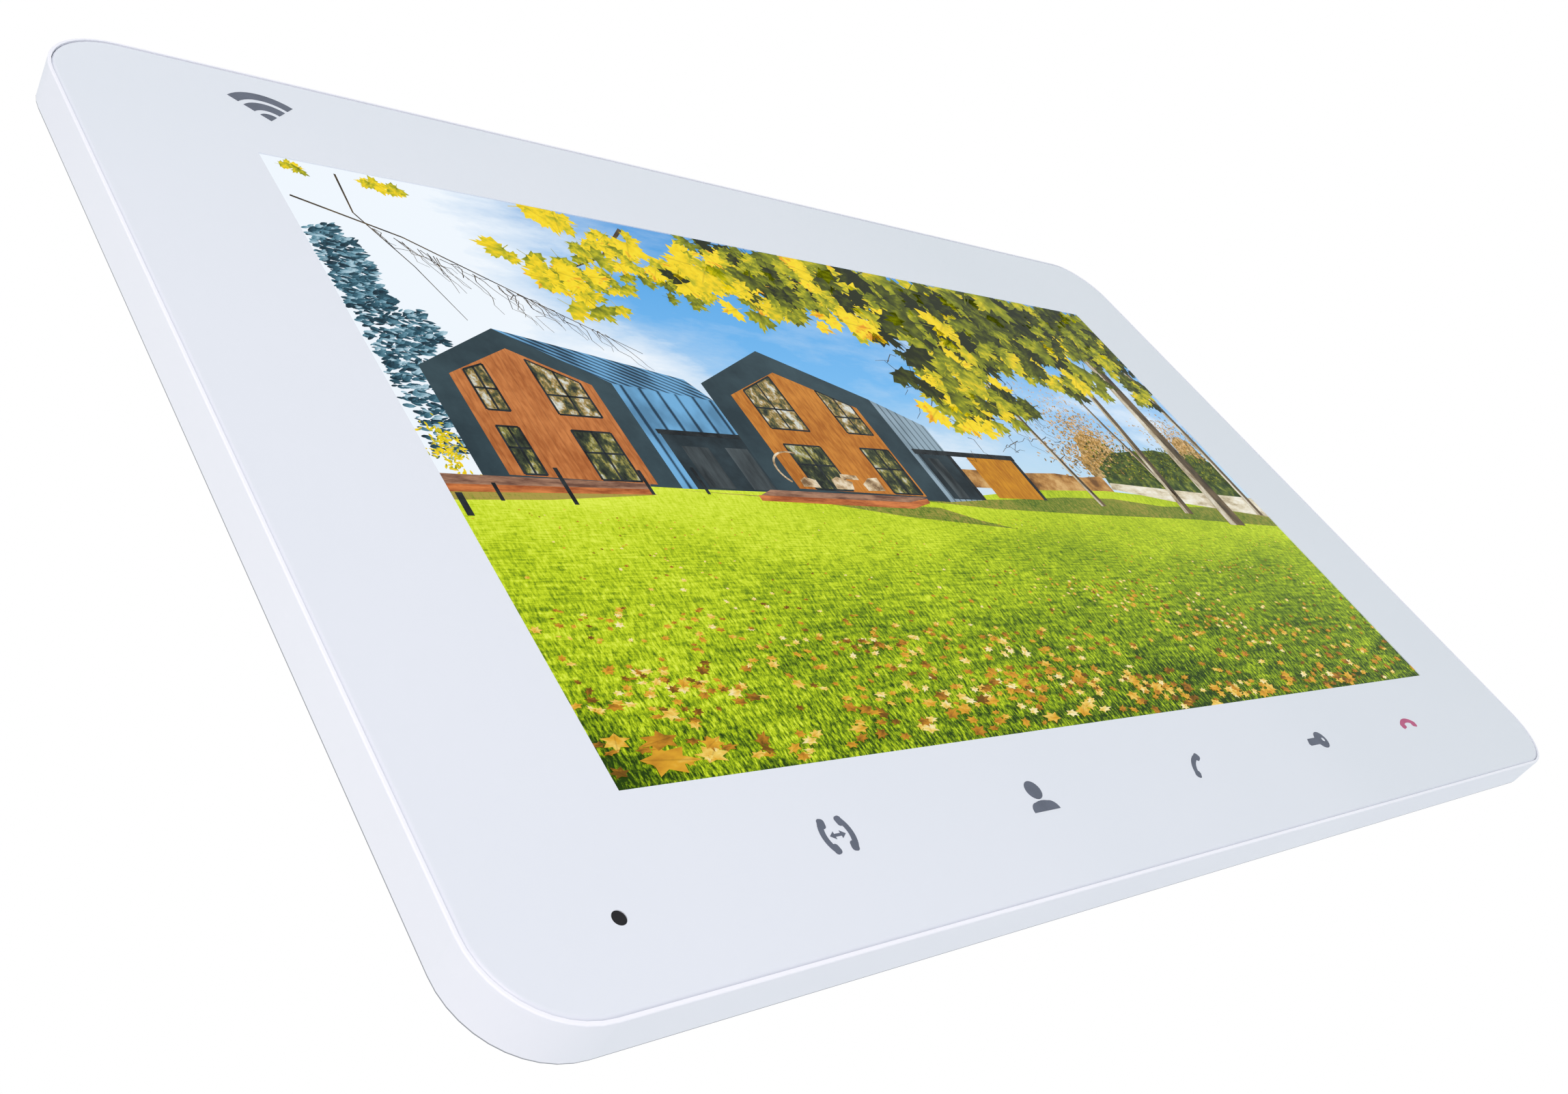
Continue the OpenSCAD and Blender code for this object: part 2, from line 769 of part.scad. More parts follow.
module touch_spring() {
    points = [for (i = [0:coil_steps], j = [0:wire_sides - 1])
              wire_point(i / coil_steps, 360 * j / wire_sides)];
    sides = [for (i = [0:coil_steps - 1], j = [0:wire_sides - 1])
             let (a = i * wire_sides + j, b = i * wire_sides + (j + 1) % wire_sides)
             [a, b, b + wire_sides, a + wire_sides]];
    start = [for (j = [wire_sides - 1:-1:0]) j];
    end = [for (j = [0:wire_sides - 1]) coil_steps * wire_sides + j];
    polyhedron(points, concat([start], sides, [end]));
}

module touch_springs() {
    color(gold) for (x = key_x) translate([x, 0, key_z]) touch_spring();
}

module key_leds() {
    led = [1.6, 0.5, 0.8];
    color(white) for (x = key_x)
        block(x - led.x / 2, y_key_board - led.y, key_z - led.z / 2, led);
}

// ---- Main board ----

module flex_connectors() {
    color(cream) for (c = [touch_connector, display_connector])
        block(c[0] - c[2] / 2, y_board - connector_d, c[1], [c[2], connector_d, connector_l]);
}

module touch_flex() {
    y_tray_run = y_tray_back + fine_gap;
    color(flex_orange) flex_strip(touch_connector[0], touch_connector[2] - 2,
        [[y_key_board_back, key_z], [y_key_board_back, module_bottom - 2.4],
         [y_tray_run, module_bottom - 0.8], [y_tray_run, module_bottom + 3],
         [y_board - connector_d / 2, touch_connector[1] - 1],
         [y_board - connector_d / 2, touch_connector[1]]], flex_t);
}

module display_flex() {
    color(flex_orange) flex_strip(display_connector[0], display_connector[2] - 2,
        [[y_tray_back, display_connector[1] - 30], [y_tray_back, display_connector[1] - 12],
         [y_board - connector_d / 2, display_connector[1] - 3],
         [y_board - connector_d / 2, display_connector[1]]], flex_t);
}

module main_board() {
    pin_hole_r = 0.52;
    color(board_green) difference() {
        layer(y_board, board_t) translate([board_x, board_z]) round_rect(board_w, board_h, 2);
        layer(y_board - 1, board_t + 2) {
            for (post = board_posts) translate(post) circle(board_screw_r + seat_gap);
            for (h = all_headers, i = [0:h[2] - 1]) translate(pin_place(h, i)) circle(pin_hole_r);
        }
    }
}

module board_screws() {
    head_r = 2.2;
    head_t = 1.4;
    color(steel) for (post = board_posts) translate([post.x, 0, post.y]) {
        difference() {
            layer(y_board - head_t, head_t) circle(head_r);
            layer(y_board - head_t - 1, 1.8) cross_recess(2.6);
        }
        layer(y_board, board_t + board_screw_l - 1) circle(board_screw_r);
    }
}

module processor() {
    color(black) layer(y_board - processor_t, processor_t)
        translate(processor_place) square(processor_side, center = true);
}

module processor_shield() {
    color(steel) tin(processor_place, shield_size, y_board, -1);
}

module board_chips() {
    color(black) for (p = board_packages)
        layer(y_board - p[4], p[4]) translate([p[0], p[1]]) square([p[2], p[3]], center = true);
}

module capacitors() {
    color(steel) layer(y_board_back, can_h) for (place = can_places) translate(place) circle(can_r);
}

function pin_place(header, i) = [header[0] + (i - (header[2] - 1) / 2) * pin_pitch, header[1]];

module header(place) {
    w = header_w(place[2]);
    translate([place[0], 0, place[1]]) difference() {
        layer(y_board_back, header_h) square([w, header_d], center = true);
        layer(y_board_back + header_floor, header_h)
            square([w - 2 * header_wall, header_d - 2 * header_wall], center = true);
        for (s = [-1, 1])
            layer(y_board_back + header_floor + 1, header_h)
                translate([s * (w / 2 - 2.6), header_d / 2 - header_wall]) square([1, 2], center = true);
        for (i = [0:place[2] - 1])
            layer(y_board_back - 1, header_h) translate(pin_place(place, i) - [place[0], place[1]])
                square(pin_side + 2 * fine_gap, center = true);
    }
}

module wire_headers() {
    color(cream) for (place = signal_headers) header(place);
}

module power_header() {
    color("firebrick") header(supply_header);
}

module header_pins() {
    tail = 1;
    reach = board_t + header_h - 1.6;
    color(gold) for (h = all_headers, i = [0:h[2] - 1])
        layer(y_board - tail, tail + reach) translate(pin_place(h, i)) square(pin_side, center = true);
}

module coin_cell_holder() {
    color(black) translate([coin_place.x, 0, coin_place.y]) difference() {
        layer(y_board_back, coin_holder_t) circle(coin_r + 1.6);
        layer(y_board_back + 1, coin_holder_t) {
            circle(coin_r + slide_gap);
            translate([0, coin_r]) square([9, 8], center = true);
        }
    }
}

module coin_cell() {
    lid_t = 0.6;
    color(steel) translate([coin_place.x, 0, coin_place.y]) {
        layer(y_board_back + 1, coin_t - lid_t) circle(coin_r);
        layer(y_board_back + 1 + coin_t - lid_t, lid_t) circle(coin_r - 0.8);
    }
}

module wireless_board() {
    color("darkgreen") layer(y_board_back, radio_size.z)
        translate(radio_place) square([radio_size.x, radio_size.y], center = true);
}

module wireless_shield() {
    color(steel) tin(radio_place - [0, 2], radio_tin, y_board_back + radio_size.z, 1);
}

module antenna() {
    color(flex_orange)
        block(antenna_x, y_board_back - antenna_size.y / 2, -wall_z - antenna_size.z, antenna_size);
}

// ---- Card, reset and power switch ----

module card_socket() {
    color(steel) difference() {
        block(card_x - socket_size.x / 2, y_board_back, board_low, socket_size);
        block(card_x - card_size.x / 2 - slide_gap, card_y - card_size.y / 2 - slide_gap, board_low - 1,
              [card_size.x + 2 * slide_gap, card_size.y + 2 * slide_gap, socket_size.z]);
    }
}

module memory_card() {
    grip_t = 0.8;
    color(black) difference() {
        block(card_x - card_size.x / 2, card_y - card_size.y / 2, card_low, card_size);
        block(card_x - 4, card_y + card_size.y / 2 - 0.25, card_low + 1, [8, 1, grip_t]);
        translate([card_x + card_size.x / 2, card_y, card_low + card_size.z])
            rotate([0, 45, 0]) cube([3, 2 * card_size.y, 3], center = true);
    }
}

module reset_switch() {
    color(black) difference() {
        block(reset_x - reset_size.x / 2, y_board_back, board_low, reset_size);
        translate([reset_x, reset_y, board_low - 1])
            cylinder(plunger_low + plunger_l + 2 * reset_travel - board_low + 1, r = plunger_r + screw_gap);
    }
}

module reset_plunger() {
    color("ivory") translate([reset_x, reset_y, plunger_low]) cylinder(plunger_l, r = plunger_r);
}

module power_switch() {
    color(steel) difference() {
        block(power_x + (power_travel - power_size.x) / 2, y_board_back, board_low, power_size);
        block(power_x - knob_base.x / 2 - slide_gap, power_y - knob_base.y / 2 - slide_gap,
              knob_base_low - slide_gap,
              [knob_base.x + power_travel + 2 * slide_gap, knob_base.y + 2 * slide_gap,
               knob_base.z + 2 * slide_gap]);
        block(power_x - knob_stem.x / 2 - slide_gap, power_y - knob_stem.y / 2 - slide_gap, board_low - 1,
              [knob_stem.x + power_travel + 2 * slide_gap, knob_stem.y + 2 * slide_gap,
               knob_base_low - board_low + 1]);
    }
}

module power_knob() {
    color(black) {
        block(power_x - knob_base.x / 2, power_y - knob_base.y / 2, knob_base_low, knob_base);
        block(power_x - knob_stem.x / 2, power_y - knob_stem.y / 2, card_low,
              [knob_stem.x, knob_stem.y, knob_base_low - card_low]);
    }
}

// ---- Speaker and microphone ----

module speaker_gasket() {
    color(black) layer(y_basket, gasket_t) translate([speaker_x, speaker_z]) difference() {
        circle(speaker_r);
        circle(speaker_r - speaker_rim);
    }
}

// Turned piece about the speaker's axis; the outline is [radius, depth from the rim's back face]
module speaker_turned() {
    translate([speaker_x, y_basket, speaker_z]) rotate([90, 0, 0]) rotate_extrude() children();
}

module speaker_basket() {
    color(steel) speaker_turned()
        polygon([[magnet_r - 2, basket_d], [speaker_r - 5, basket_d], [speaker_r - 2, 0.8], [speaker_r, 0.8],
                 [speaker_r, 0], [cone_r + 0.1, 0], [cone_r + 0.1, 0.3], [speaker_r - speaker_rim, 0.3],
                 [speaker_r - 5.4, basket_d - 0.5], [magnet_r - 2, basket_d - 0.5]]);
}

module speaker_cone() {
    color(black) speaker_turned()
        polygon([[0, 1.3], [4, 2.1], [speaker_r - 4, 0.1], [cone_r, 0.1],
                 [cone_r, 0.3], [speaker_r - 4, 0.3], [4, 2.4], [0, 1.6]]);
}

module speaker_magnet() {
    color(steel) layer(y_basket - basket_d - magnet_t, magnet_t)
        translate([speaker_x, speaker_z]) circle(magnet_r);
}

module microphone() {
    color(steel) layer(y_panel_back + boot_t - mic_t, mic_t) translate([mic_x, mic_z]) circle(mic_r);
}

// Woven dust screen pressed into the microphone hole, just below the face
module microphone_screen() {
    color(black) layer(y_face + screen_sink, screen_t)
        translate([mic_x, mic_z]) circle(mic_hole_d / 2);
}

module microphone_boot() {
    color(black) translate([mic_x, 0, mic_z]) difference() {
        layer(y_panel_back, boot_t) circle(boot_r);
        layer(y_panel_back + boot_t - mic_t, boot_t) circle(mic_r);
        layer(y_panel_back - 1, boot_t) circle(mic_hole_d / 2);
    }
}

wall_bracket();
rear_cover();
front_shell();
front_panel();
display_lens();
grey_symbols();
hang_up_symbol();
panel_tape();
optical_bond();
window_gasket();
display_cell();
diffuser_films();
light_guide();
module_frame();
backlight_strip();
backlight_leds();
display_tray();
key_board();
key_foam();
touch_springs();
key_leds();
touch_flex();
display_flex();
flex_connectors();
main_board();
board_screws();
processor();
processor_shield();
board_chips();
capacitors();
wire_headers();
power_header();
header_pins();
card_socket();
memory_card();
reset_switch();
reset_plunger();
power_switch();
power_knob();
coin_cell_holder();
coin_cell();
speaker_gasket();
speaker_basket();
speaker_cone();
speaker_magnet();
microphone_boot();
microphone();
microphone_screen();
wireless_board();
wireless_shield();
antenna();
rating_label();
rear_pads();
case_screws();
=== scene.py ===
import json
import math
import random

import bmesh
import bpy
from mathutils import Matrix, Quaternion, Vector


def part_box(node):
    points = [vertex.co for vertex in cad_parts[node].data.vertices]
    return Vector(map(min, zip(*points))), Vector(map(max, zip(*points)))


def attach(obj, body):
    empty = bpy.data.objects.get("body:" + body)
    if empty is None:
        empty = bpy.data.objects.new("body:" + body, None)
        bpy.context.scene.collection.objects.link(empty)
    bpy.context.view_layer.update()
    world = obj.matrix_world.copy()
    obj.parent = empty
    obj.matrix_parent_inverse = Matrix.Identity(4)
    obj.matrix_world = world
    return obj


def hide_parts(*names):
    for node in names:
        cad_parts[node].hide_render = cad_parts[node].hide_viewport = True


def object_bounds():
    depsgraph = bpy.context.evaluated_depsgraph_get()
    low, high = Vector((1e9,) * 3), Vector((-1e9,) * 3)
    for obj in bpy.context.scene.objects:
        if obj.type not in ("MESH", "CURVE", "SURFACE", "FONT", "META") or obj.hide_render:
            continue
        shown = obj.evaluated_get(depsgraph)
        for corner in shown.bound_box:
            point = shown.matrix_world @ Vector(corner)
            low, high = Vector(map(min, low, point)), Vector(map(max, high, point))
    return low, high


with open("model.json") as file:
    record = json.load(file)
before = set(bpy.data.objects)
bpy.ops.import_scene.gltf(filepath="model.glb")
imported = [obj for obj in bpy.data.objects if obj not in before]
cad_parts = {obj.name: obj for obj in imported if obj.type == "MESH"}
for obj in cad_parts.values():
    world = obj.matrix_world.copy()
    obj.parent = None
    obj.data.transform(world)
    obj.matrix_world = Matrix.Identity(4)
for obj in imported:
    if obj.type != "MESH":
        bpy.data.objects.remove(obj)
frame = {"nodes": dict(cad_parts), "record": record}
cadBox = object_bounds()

scene = bpy.context.scene
millimetre = 0.001
print("frame loaded:", len(frame["nodes"]), "nodes")

lensLow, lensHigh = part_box("display_lens")
pictureWidth = lensHigh.x - lensLow.x
pictureHeight = lensHigh.z - lensLow.z
faceY = lensLow.y
faceMiddle = Vector(((lensLow.x + lensHigh.x) / 2, faceY, (lensLow.z + lensHigh.z) / 2))


def addNode(tree, kind, links=(), **settings):
    # a node with its settings; each socket named in links gets a source or a value
    node = tree.nodes.new(kind)
    for key, value in settings.items():
        setattr(node, key, value)
    for socket, source in links:
        if isinstance(source, bpy.types.NodeSocket):
            tree.links.new(source, node.inputs[socket])
        else:
            node.inputs[socket].default_value = source
    return node


def addMath(tree, operation, first, second=0.0):
    return addNode(tree, "ShaderNodeMath", [(0, first), (1, second)], operation=operation).outputs[0]


def addSum(tree, first, *others):
    for other in others:
        first = addMath(tree, "ADD", first, other)
    return first


def addSwing(tree, value, middle, gain):
    # how far a value is from its middle, times the gain
    return addMath(tree, "MULTIPLY", addMath(tree, "SUBTRACT", value, middle), gain)


def addRange(tree, value, low, high, start=0.0, end=1.0):
    return addNode(tree, "ShaderNodeMapRange",
                   [("Value", value), ("From Min", low), ("From Max", high), ("To Min", start),
                    ("To Max", end)]).outputs["Result"]


def addMix(tree, factor, first, second, blend="MIX"):
    return addNode(tree, "ShaderNodeMix", [(0, factor), (6, first), (7, second)],
                   data_type="RGBA", blend_type=blend).outputs[2]


def ownPlace(tree):
    return addNode(tree, "ShaderNodeTexCoord").outputs["Object"]


shot = {
    "lens": 34.3,
    "sensor": 36.0,
    "near": 0.005,
    "offset": Vector((-0.21736, -0.1123, -0.13699)),   # from the middle of the picture
    "azimuth": 54.92,
    "climb": 30.12,
    "roll": -35.34,
}


def makeCamera():
    data = bpy.data.cameras.new("camera")
    data.lens = shot["lens"]
    data.sensor_width = shot["sensor"]
    data.clip_start = shot["near"]
    camera = bpy.data.objects.new("camera", data)
    scene.collection.objects.link(camera)
    turn, climb = math.radians(shot["azimuth"]), math.radians(shot["climb"])
    look = Vector((math.sin(turn) * math.cos(climb), math.cos(turn) * math.cos(climb), math.sin(climb)))
    camera.rotation_mode = "QUATERNION"
    roll = Quaternion((0, 0, 1), math.radians(shot["roll"]))
    camera.rotation_quaternion = look.to_track_quat("-Z", "Y") @ roll
    camera.location = faceMiddle + shot["offset"]
    scene.camera = camera


studio = {
    "around": 0.735,                 # light of the surroundings
    "slope": (-0.04, -0.03, 0.07),   # how it grows along X, Y and Z
    "tint": (0.92, 0.995, 1.0, 1),
    "backdrop": (1, 1, 1, 1),
    "keyTint": (1.0, 0.83, 0.86),
    "floorDrop": 0.3,               # from the lowest point down to the floor
    "floorSize": 3.0,
    "keyPlace": Vector((-0.52, -0.62, -0.18)),
    "keySize": 0.7,
    "keyPower": 2.62,
    "rimPlace": Vector((0.75, 0.9, 0.75)),
    "rimSize": 0.9,
    "rimPower": 6.5,
}


def makeWorld():
    # the camera sees the plain backdrop, and the light of the surroundings leans a little
    world = bpy.data.worlds.new("studio")
    world.use_nodes = True
    scene.world = world
    tree = world.node_tree
    tree.nodes.clear()
    place = addNode(tree, "ShaderNodeTexCoord")
    lean = addNode(tree, "ShaderNodeVectorMath", [(0, place.outputs["Generated"]), (1, studio["slope"])],
                   operation="DOT_PRODUCT")
    level = addMath(tree, "ADD", lean.outputs["Value"], studio["around"])
    lit = addNode(tree, "ShaderNodeBackground", [("Color", studio["tint"]), ("Strength", level)])
    seen = addNode(tree, "ShaderNodeBackground", [("Color", studio["backdrop"])])
    path = addNode(tree, "ShaderNodeLightPath")
    mix = addNode(tree, "ShaderNodeMixShader",
                  [("Fac", path.outputs["Is Camera Ray"]), (1, lit.outputs[0]), (2, seen.outputs[0])])
    addNode(tree, "ShaderNodeOutputWorld", [("Surface", mix.outputs[0])])


def makeLamp(name, place, size, power, tint=(1, 1, 1)):
    data = bpy.data.lights.new(name, "AREA")
    data.color = tint
    data.shape = "DISK"
    data.size = size
    data.energy = power
    lamp = bpy.data.objects.new(name, data)
    lamp.location = place
    lamp.rotation_euler = (faceMiddle - place).to_track_quat("-Z", "Y").to_euler()
    scene.collection.objects.link(lamp)


makeCamera()
makeWorld()
makeLamp("keyLamp", studio["keyPlace"], studio["keySize"], studio["keyPower"], studio["keyTint"])
makeLamp("rimLamp", studio["rimPlace"], studio["rimSize"], studio["rimPower"])
scene.view_settings.view_transform = "Standard"
scene.view_settings.look = "None"
print("camera, light and world made")


def paint(red, green, blue):
    # a display colour, 0 to 255, as linear light
    def linear(value):
        value /= 255
        return value / 12.92 if value <= 0.04045 else ((value + 0.055) / 1.055) ** 2.4
    return (linear(red), linear(green), linear(blue), 1)


number = "NodeSocketFloat"
grainLow, grainHigh = 0.3, 0.7   # the part of a noise's range that is used


def newGroup(name, inputs, outputs):
    group = bpy.data.node_groups.new(name, "ShaderNodeTree")
    for label, kind, value in inputs:
        socket = group.interface.new_socket(label, in_out="INPUT", socket_type=kind)
        socket.default_value = value
    for label, kind in outputs:
        group.interface.new_socket(label, in_out="OUTPUT", socket_type=kind)
    return group, group.nodes.new("NodeGroupInput"), group.nodes.new("NodeGroupOutput")


def levelAndHeight(group, given, result, noise):
    # the value runs from Low to High along the noise, and the height is the noise itself
    fac = noise.outputs["Fac"]
    level = addRange(group, fac, grainLow, grainHigh, given.outputs["Low"], given.outputs["High"])
    group.links.new(level, result.inputs["Value"])
    group.links.new(fac, result.inputs["Height"])
    return group


def buildGrain():
    # fine moulded or cast grain
    group, given, result = newGroup(
        "fineGrain", [("Size", number, 900), ("Low", number, 0.3), ("High", number, 0.4)],
        [("Value", number), ("Height", number)])
    noise = addNode(group, "ShaderNodeTexNoise",
                    [("Vector", ownPlace(group)), ("Scale", given.outputs["Size"]), ("Detail", 3.0)])
    return levelAndHeight(group, given, result, noise)


def buildMottle():
    # slow drift between two tints
    group, given, result = newGroup(
        "softMottle",
        [("Tint", "NodeSocketColor", (1, 1, 1, 1)), ("Other Tint", "NodeSocketColor", (0, 0, 0, 1)),
         ("Size", number, 12)],
        [("Color", "NodeSocketColor")])
    noise = addNode(group, "ShaderNodeTexNoise",
                    [("Vector", ownPlace(group)), ("Scale", given.outputs["Size"]), ("Detail", 2.0)])
    ease = addRange(group, noise.outputs["Fac"], 0.35, 0.65)
    mix = addMix(group, ease, given.outputs["Tint"], given.outputs["Other Tint"])
    group.links.new(mix, result.inputs["Color"])
    return group


def buildRolling():
    # long marks of rolled, brushed or turned metal along X
    group, given, result = newGroup(
        "rollingMarks",
        [("Length", number, 20), ("Across", number, 900), ("Low", number, 0.25), ("High", number, 0.45)],
        [("Value", number), ("Height", number)])
    stretch = addNode(group, "ShaderNodeCombineXYZ",
                      [("X", given.outputs["Length"]), ("Y", given.outputs["Across"]),
                       ("Z", given.outputs["Across"])])
    spread = addNode(group, "ShaderNodeVectorMath", [(0, ownPlace(group)), (1, stretch.outputs[0])],
                     operation="MULTIPLY")
    noise = addNode(group, "ShaderNodeTexNoise",
                    [("Vector", spread.outputs[0]), ("Scale", 1.0), ("Detail", 3.0)])
    return levelAndHeight(group, given, result, noise)


grainGroup = buildGrain()
mottleGroup = buildMottle()
rollingGroup = buildRolling()


def setInputs(node, **values):
    for label, value in values.items():
        node.inputs[label.replace("_", " ")].default_value = value


def addGroup(tree, group, **values):
    node = tree.nodes.new("ShaderNodeGroup")
    node.node_tree = group
    setInputs(node, **values)
    return node


def newFinish(name):
    finish = bpy.data.materials.new(name)
    finish.use_nodes = True
    tree = finish.node_tree
    return finish, tree, tree.nodes["Principled BSDF"]


def addBump(tree, shader, height, strength, depth):
    bump = addNode(tree, "ShaderNodeBump",
                   [("Height", height), ("Strength", strength), ("Distance", depth * millimetre)])
    tree.links.new(bump.outputs["Normal"], shader.inputs["Normal"])


def dress(tree, shader, tint, other, mottle, skin):
    # the colour drifts between two tints, and the roughness follows the skin
    colour = addGroup(tree, mottleGroup, Tint=tint, Other_Tint=other, Size=mottle)
    tree.links.new(colour.outputs["Color"], shader.inputs["Base Color"])
    tree.links.new(skin.outputs["Value"], shader.inputs["Roughness"])


# reliefs are depths in millimetres
surface = {
    "plasticRelief": 0.05,
    "coatRough": 0.12,
    "metalRelief": 0.02,
    "metalMottle": 45,
    "clearMottle": 30,
    "clearGrain": 300,
    "clearShare": 0.9,
    "clearIndex": 1.48,
}


def plastic(name, tint, other, rough, grain, bump, specular=0.5, coat=0.0, mottle=12):
    finish, tree, shader = newFinish(name)
    skin = addGroup(tree, grainGroup, Size=grain, Low=rough[0], High=rough[1])
    dress(tree, shader, tint, other, mottle, skin)
    setInputs(shader, Specular_IOR_Level=specular, Coat_Weight=coat, Coat_Roughness=surface["coatRough"])
    addBump(tree, shader, skin.outputs["Height"], bump, surface["plasticRelief"])
    return finish


shell = {
    "tint": paint(246, 246, 252),
    "otherTint": paint(243, 243, 250),
    "rearEdgePaintedShade": paint(104, 108, 116),   # painted shade: a fine dark line where the shell meets the rear cover
    "edgeInset": 0.18,                  # millimetres from the rear of the shell to the middle of the painted shade
    "edgeWide": 0.17,                   # and from there to where it ends, on each side
}


def shellPlastic(name):
    finish = plastic(name, shell["tint"], shell["otherTint"], (0.54, 0.62), 3000, 0.006, specular=0.22)
    tree = finish.node_tree
    colour = tree.nodes["Principled BSDF"].inputs["Base Color"]
    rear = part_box("front_shell")[1].y
    # painted shade: the shell darkens in a fine line near its rear edge, where it meets the rear cover
    split = addNode(tree, "ShaderNodeSeparateXYZ", [(0, ownPlace(tree))])
    beside = addMath(tree, "SUBTRACT", split.outputs["Y"], rear - shell["edgeInset"] * millimetre)
    edge = addRange(tree, addMath(tree, "ABSOLUTE", beside), 0.0, shell["edgeWide"] * millimetre, 1.0, 0.0)
    tree.links.new(addMix(tree, edge, colour.links[0].from_socket, shell["rearEdgePaintedShade"]), colour)
    return finish


def metal(name, tint, other, rough, length, across, bump):
    finish, tree, shader = newFinish(name)
    marks = addGroup(tree, rollingGroup, Length=length, Across=across, Low=rough[0], High=rough[1])
    dress(tree, shader, tint, other, surface["metalMottle"], marks)
    setInputs(shader, Metallic=1)
    addBump(tree, shader, marks.outputs["Height"], bump, surface["metalRelief"])
    return finish


def clear(name, tint, other, rough):
    finish, tree, shader = newFinish(name)
    skin = addGroup(tree, grainGroup, Size=surface["clearGrain"], Low=rough[0], High=rough[1])
    dress(tree, shader, tint, other, surface["clearMottle"], skin)
    setInputs(shader, Transmission_Weight=surface["clearShare"], IOR=surface["clearIndex"])
    return finish


# copper under the solder mask: cells of this scale, rings in each, and where a ring begins and is full
routing = {"scale": 210, "rings": 9, "begins": 0.55, "full": 0.65, "bump": 0.35, "relief": 0.03}


def board(name, mask, trace):
    # solder mask over routed copper: thin straight tracks show through
    finish, tree, shader = newFinish(name)
    tracks = addNode(tree, "ShaderNodeTexVoronoi", [("Vector", ownPlace(tree)), ("Scale", routing["scale"])],
                     distance="MANHATTAN", feature="F1")
    cycle = addMath(tree, "FRACT", addMath(tree, "MULTIPLY", tracks.outputs["Distance"], routing["rings"]))
    line = addRange(tree, cycle, routing["begins"], routing["full"])
    skin = addGroup(tree, grainGroup, Size=1500, Low=0.28, High=0.4)
    tree.links.new(addMix(tree, line, mask, trace), shader.inputs["Base Color"])
    tree.links.new(skin.outputs["Value"], shader.inputs["Roughness"])
    addBump(tree, shader, line, routing["bump"], routing["relief"])
    return finish


finishes = {}


def addFinish(make, slot, *given, **more):
    first, second = slot.split("_")
    finishes[slot] = make(first + second.capitalize(), *given, **more)


# plastic: two tints and the roughness, then the size of the grain and the strength of its bump; clear: two
# tints and the roughness
# metal: two tints and the roughness, then its marks along and across and the strength of their bump
addFinish(plastic, "panel_white", paint(229, 232, 240), paint(226, 230, 238), (0.22, 0.27), 3000, 0.004,
          coat=0.3)
addFinish(shellPlastic, "shell_white")
addFinish(plastic, "cover_white", paint(223, 226, 231), paint(216, 219, 225), (0.46, 0.62), 2600, 0.35)
addFinish(plastic, "ink_grey", paint(100, 106, 121), paint(94, 100, 114), (0.45, 0.6), 3500, 0.15,
          specular=0.3, mottle=400)
addFinish(plastic, "ink_red", paint(193, 92, 131), paint(185, 86, 124), (0.45, 0.6), 3500, 0.15,
          specular=0.3, mottle=400)
addFinish(clear, "clear_resin", (0.86, 0.92, 0.95, 1), (0.82, 0.89, 0.93, 1), (0.04, 0.1))
addFinish(plastic, "dark_glass", (0.012, 0.014, 0.018, 1), (0.018, 0.02, 0.026, 1), (0.05, 0.1), 300, 0.01)
addFinish(plastic, "film_white", paint(243, 244, 246), paint(236, 238, 241), (0.5, 0.65), 1800, 0.1)
addFinish(plastic, "led_yellow", paint(240, 214, 96), paint(231, 199, 74), (0.25, 0.4), 2200, 0.1, mottle=500)
addFinish(metal, "tray_steel", (0.5, 0.51, 0.53, 1), (0.44, 0.45, 0.47, 1), (0.28, 0.42), 30, 1400, 0.15)
addFinish(metal, "tin_plate", (0.62, 0.63, 0.64, 1), (0.55, 0.56, 0.57, 1), (0.2, 0.34), 60, 900, 0.1)
addFinish(metal, "bracket_steel", (0.52, 0.55, 0.59, 1), (0.45, 0.47, 0.5, 1), (0.3, 0.48), 45, 1100, 0.2)
addFinish(metal, "screw_steel", (0.5, 0.51, 0.52, 1), (0.41, 0.42, 0.43, 1), (0.25, 0.4), 500, 700, 0.2)
addFinish(metal, "cell_steel", (0.6, 0.59, 0.57, 1), (0.52, 0.51, 0.49, 1), (0.2, 0.32), 90, 1500, 0.1)
addFinish(metal, "gold_metal", (0.83, 0.6, 0.24, 1), (0.74, 0.51, 0.19, 1), (0.18, 0.3), 400, 900, 0.1)
addFinish(metal, "can_aluminium", (0.66, 0.67, 0.69, 1), (0.58, 0.59, 0.61, 1), (0.25, 0.4), 80, 1300, 0.1)
addFinish(metal, "magnet_iron", (0.09, 0.09, 0.1, 1), (0.06, 0.06, 0.07, 1), (0.4, 0.6), 900, 900, 0.5)
addFinish(plastic, "cone_paper", (0.012, 0.012, 0.013, 1), (0.022, 0.021, 0.02, 1), (0.75, 0.95), 1600, 0.8)
addFinish(board, "board_green", (0.008, 0.085, 0.032, 1), (0.018, 0.15, 0.06, 1))
addFinish(plastic, "flex_amber", (0.5, 0.2, 0.03, 1), (0.42, 0.16, 0.022, 1), (0.2, 0.32), 500, 0.05)
addFinish(plastic, "cream_plastic", paint(236, 229, 206), paint(228, 219, 194), (0.4, 0.55), 1900, 0.2)
addFinish(plastic, "red_plastic", (0.36, 0.02, 0.017, 1), (0.3, 0.016, 0.014, 1), (0.35, 0.5), 1900, 0.2)
addFinish(plastic, "black_plastic", (0.01, 0.01, 0.012, 1), (0.016, 0.016, 0.018, 1), (0.4, 0.58), 2400, 0.3)
addFinish(plastic, "black_rubber", (0.012, 0.012, 0.012, 1), (0.02, 0.02, 0.02, 1), (0.7, 0.9), 1400, 0.5,
          specular=0.35)
addFinish(plastic, "black_foam", (0.016, 0.016, 0.018, 1), (0.028, 0.028, 0.03, 1), (0.85, 1.0), 2800, 1.0,
          specular=0.2)
addFinish(plastic, "label_silver", paint(206, 208, 212), paint(197, 199, 204), (0.3, 0.42), 1500, 0.1)

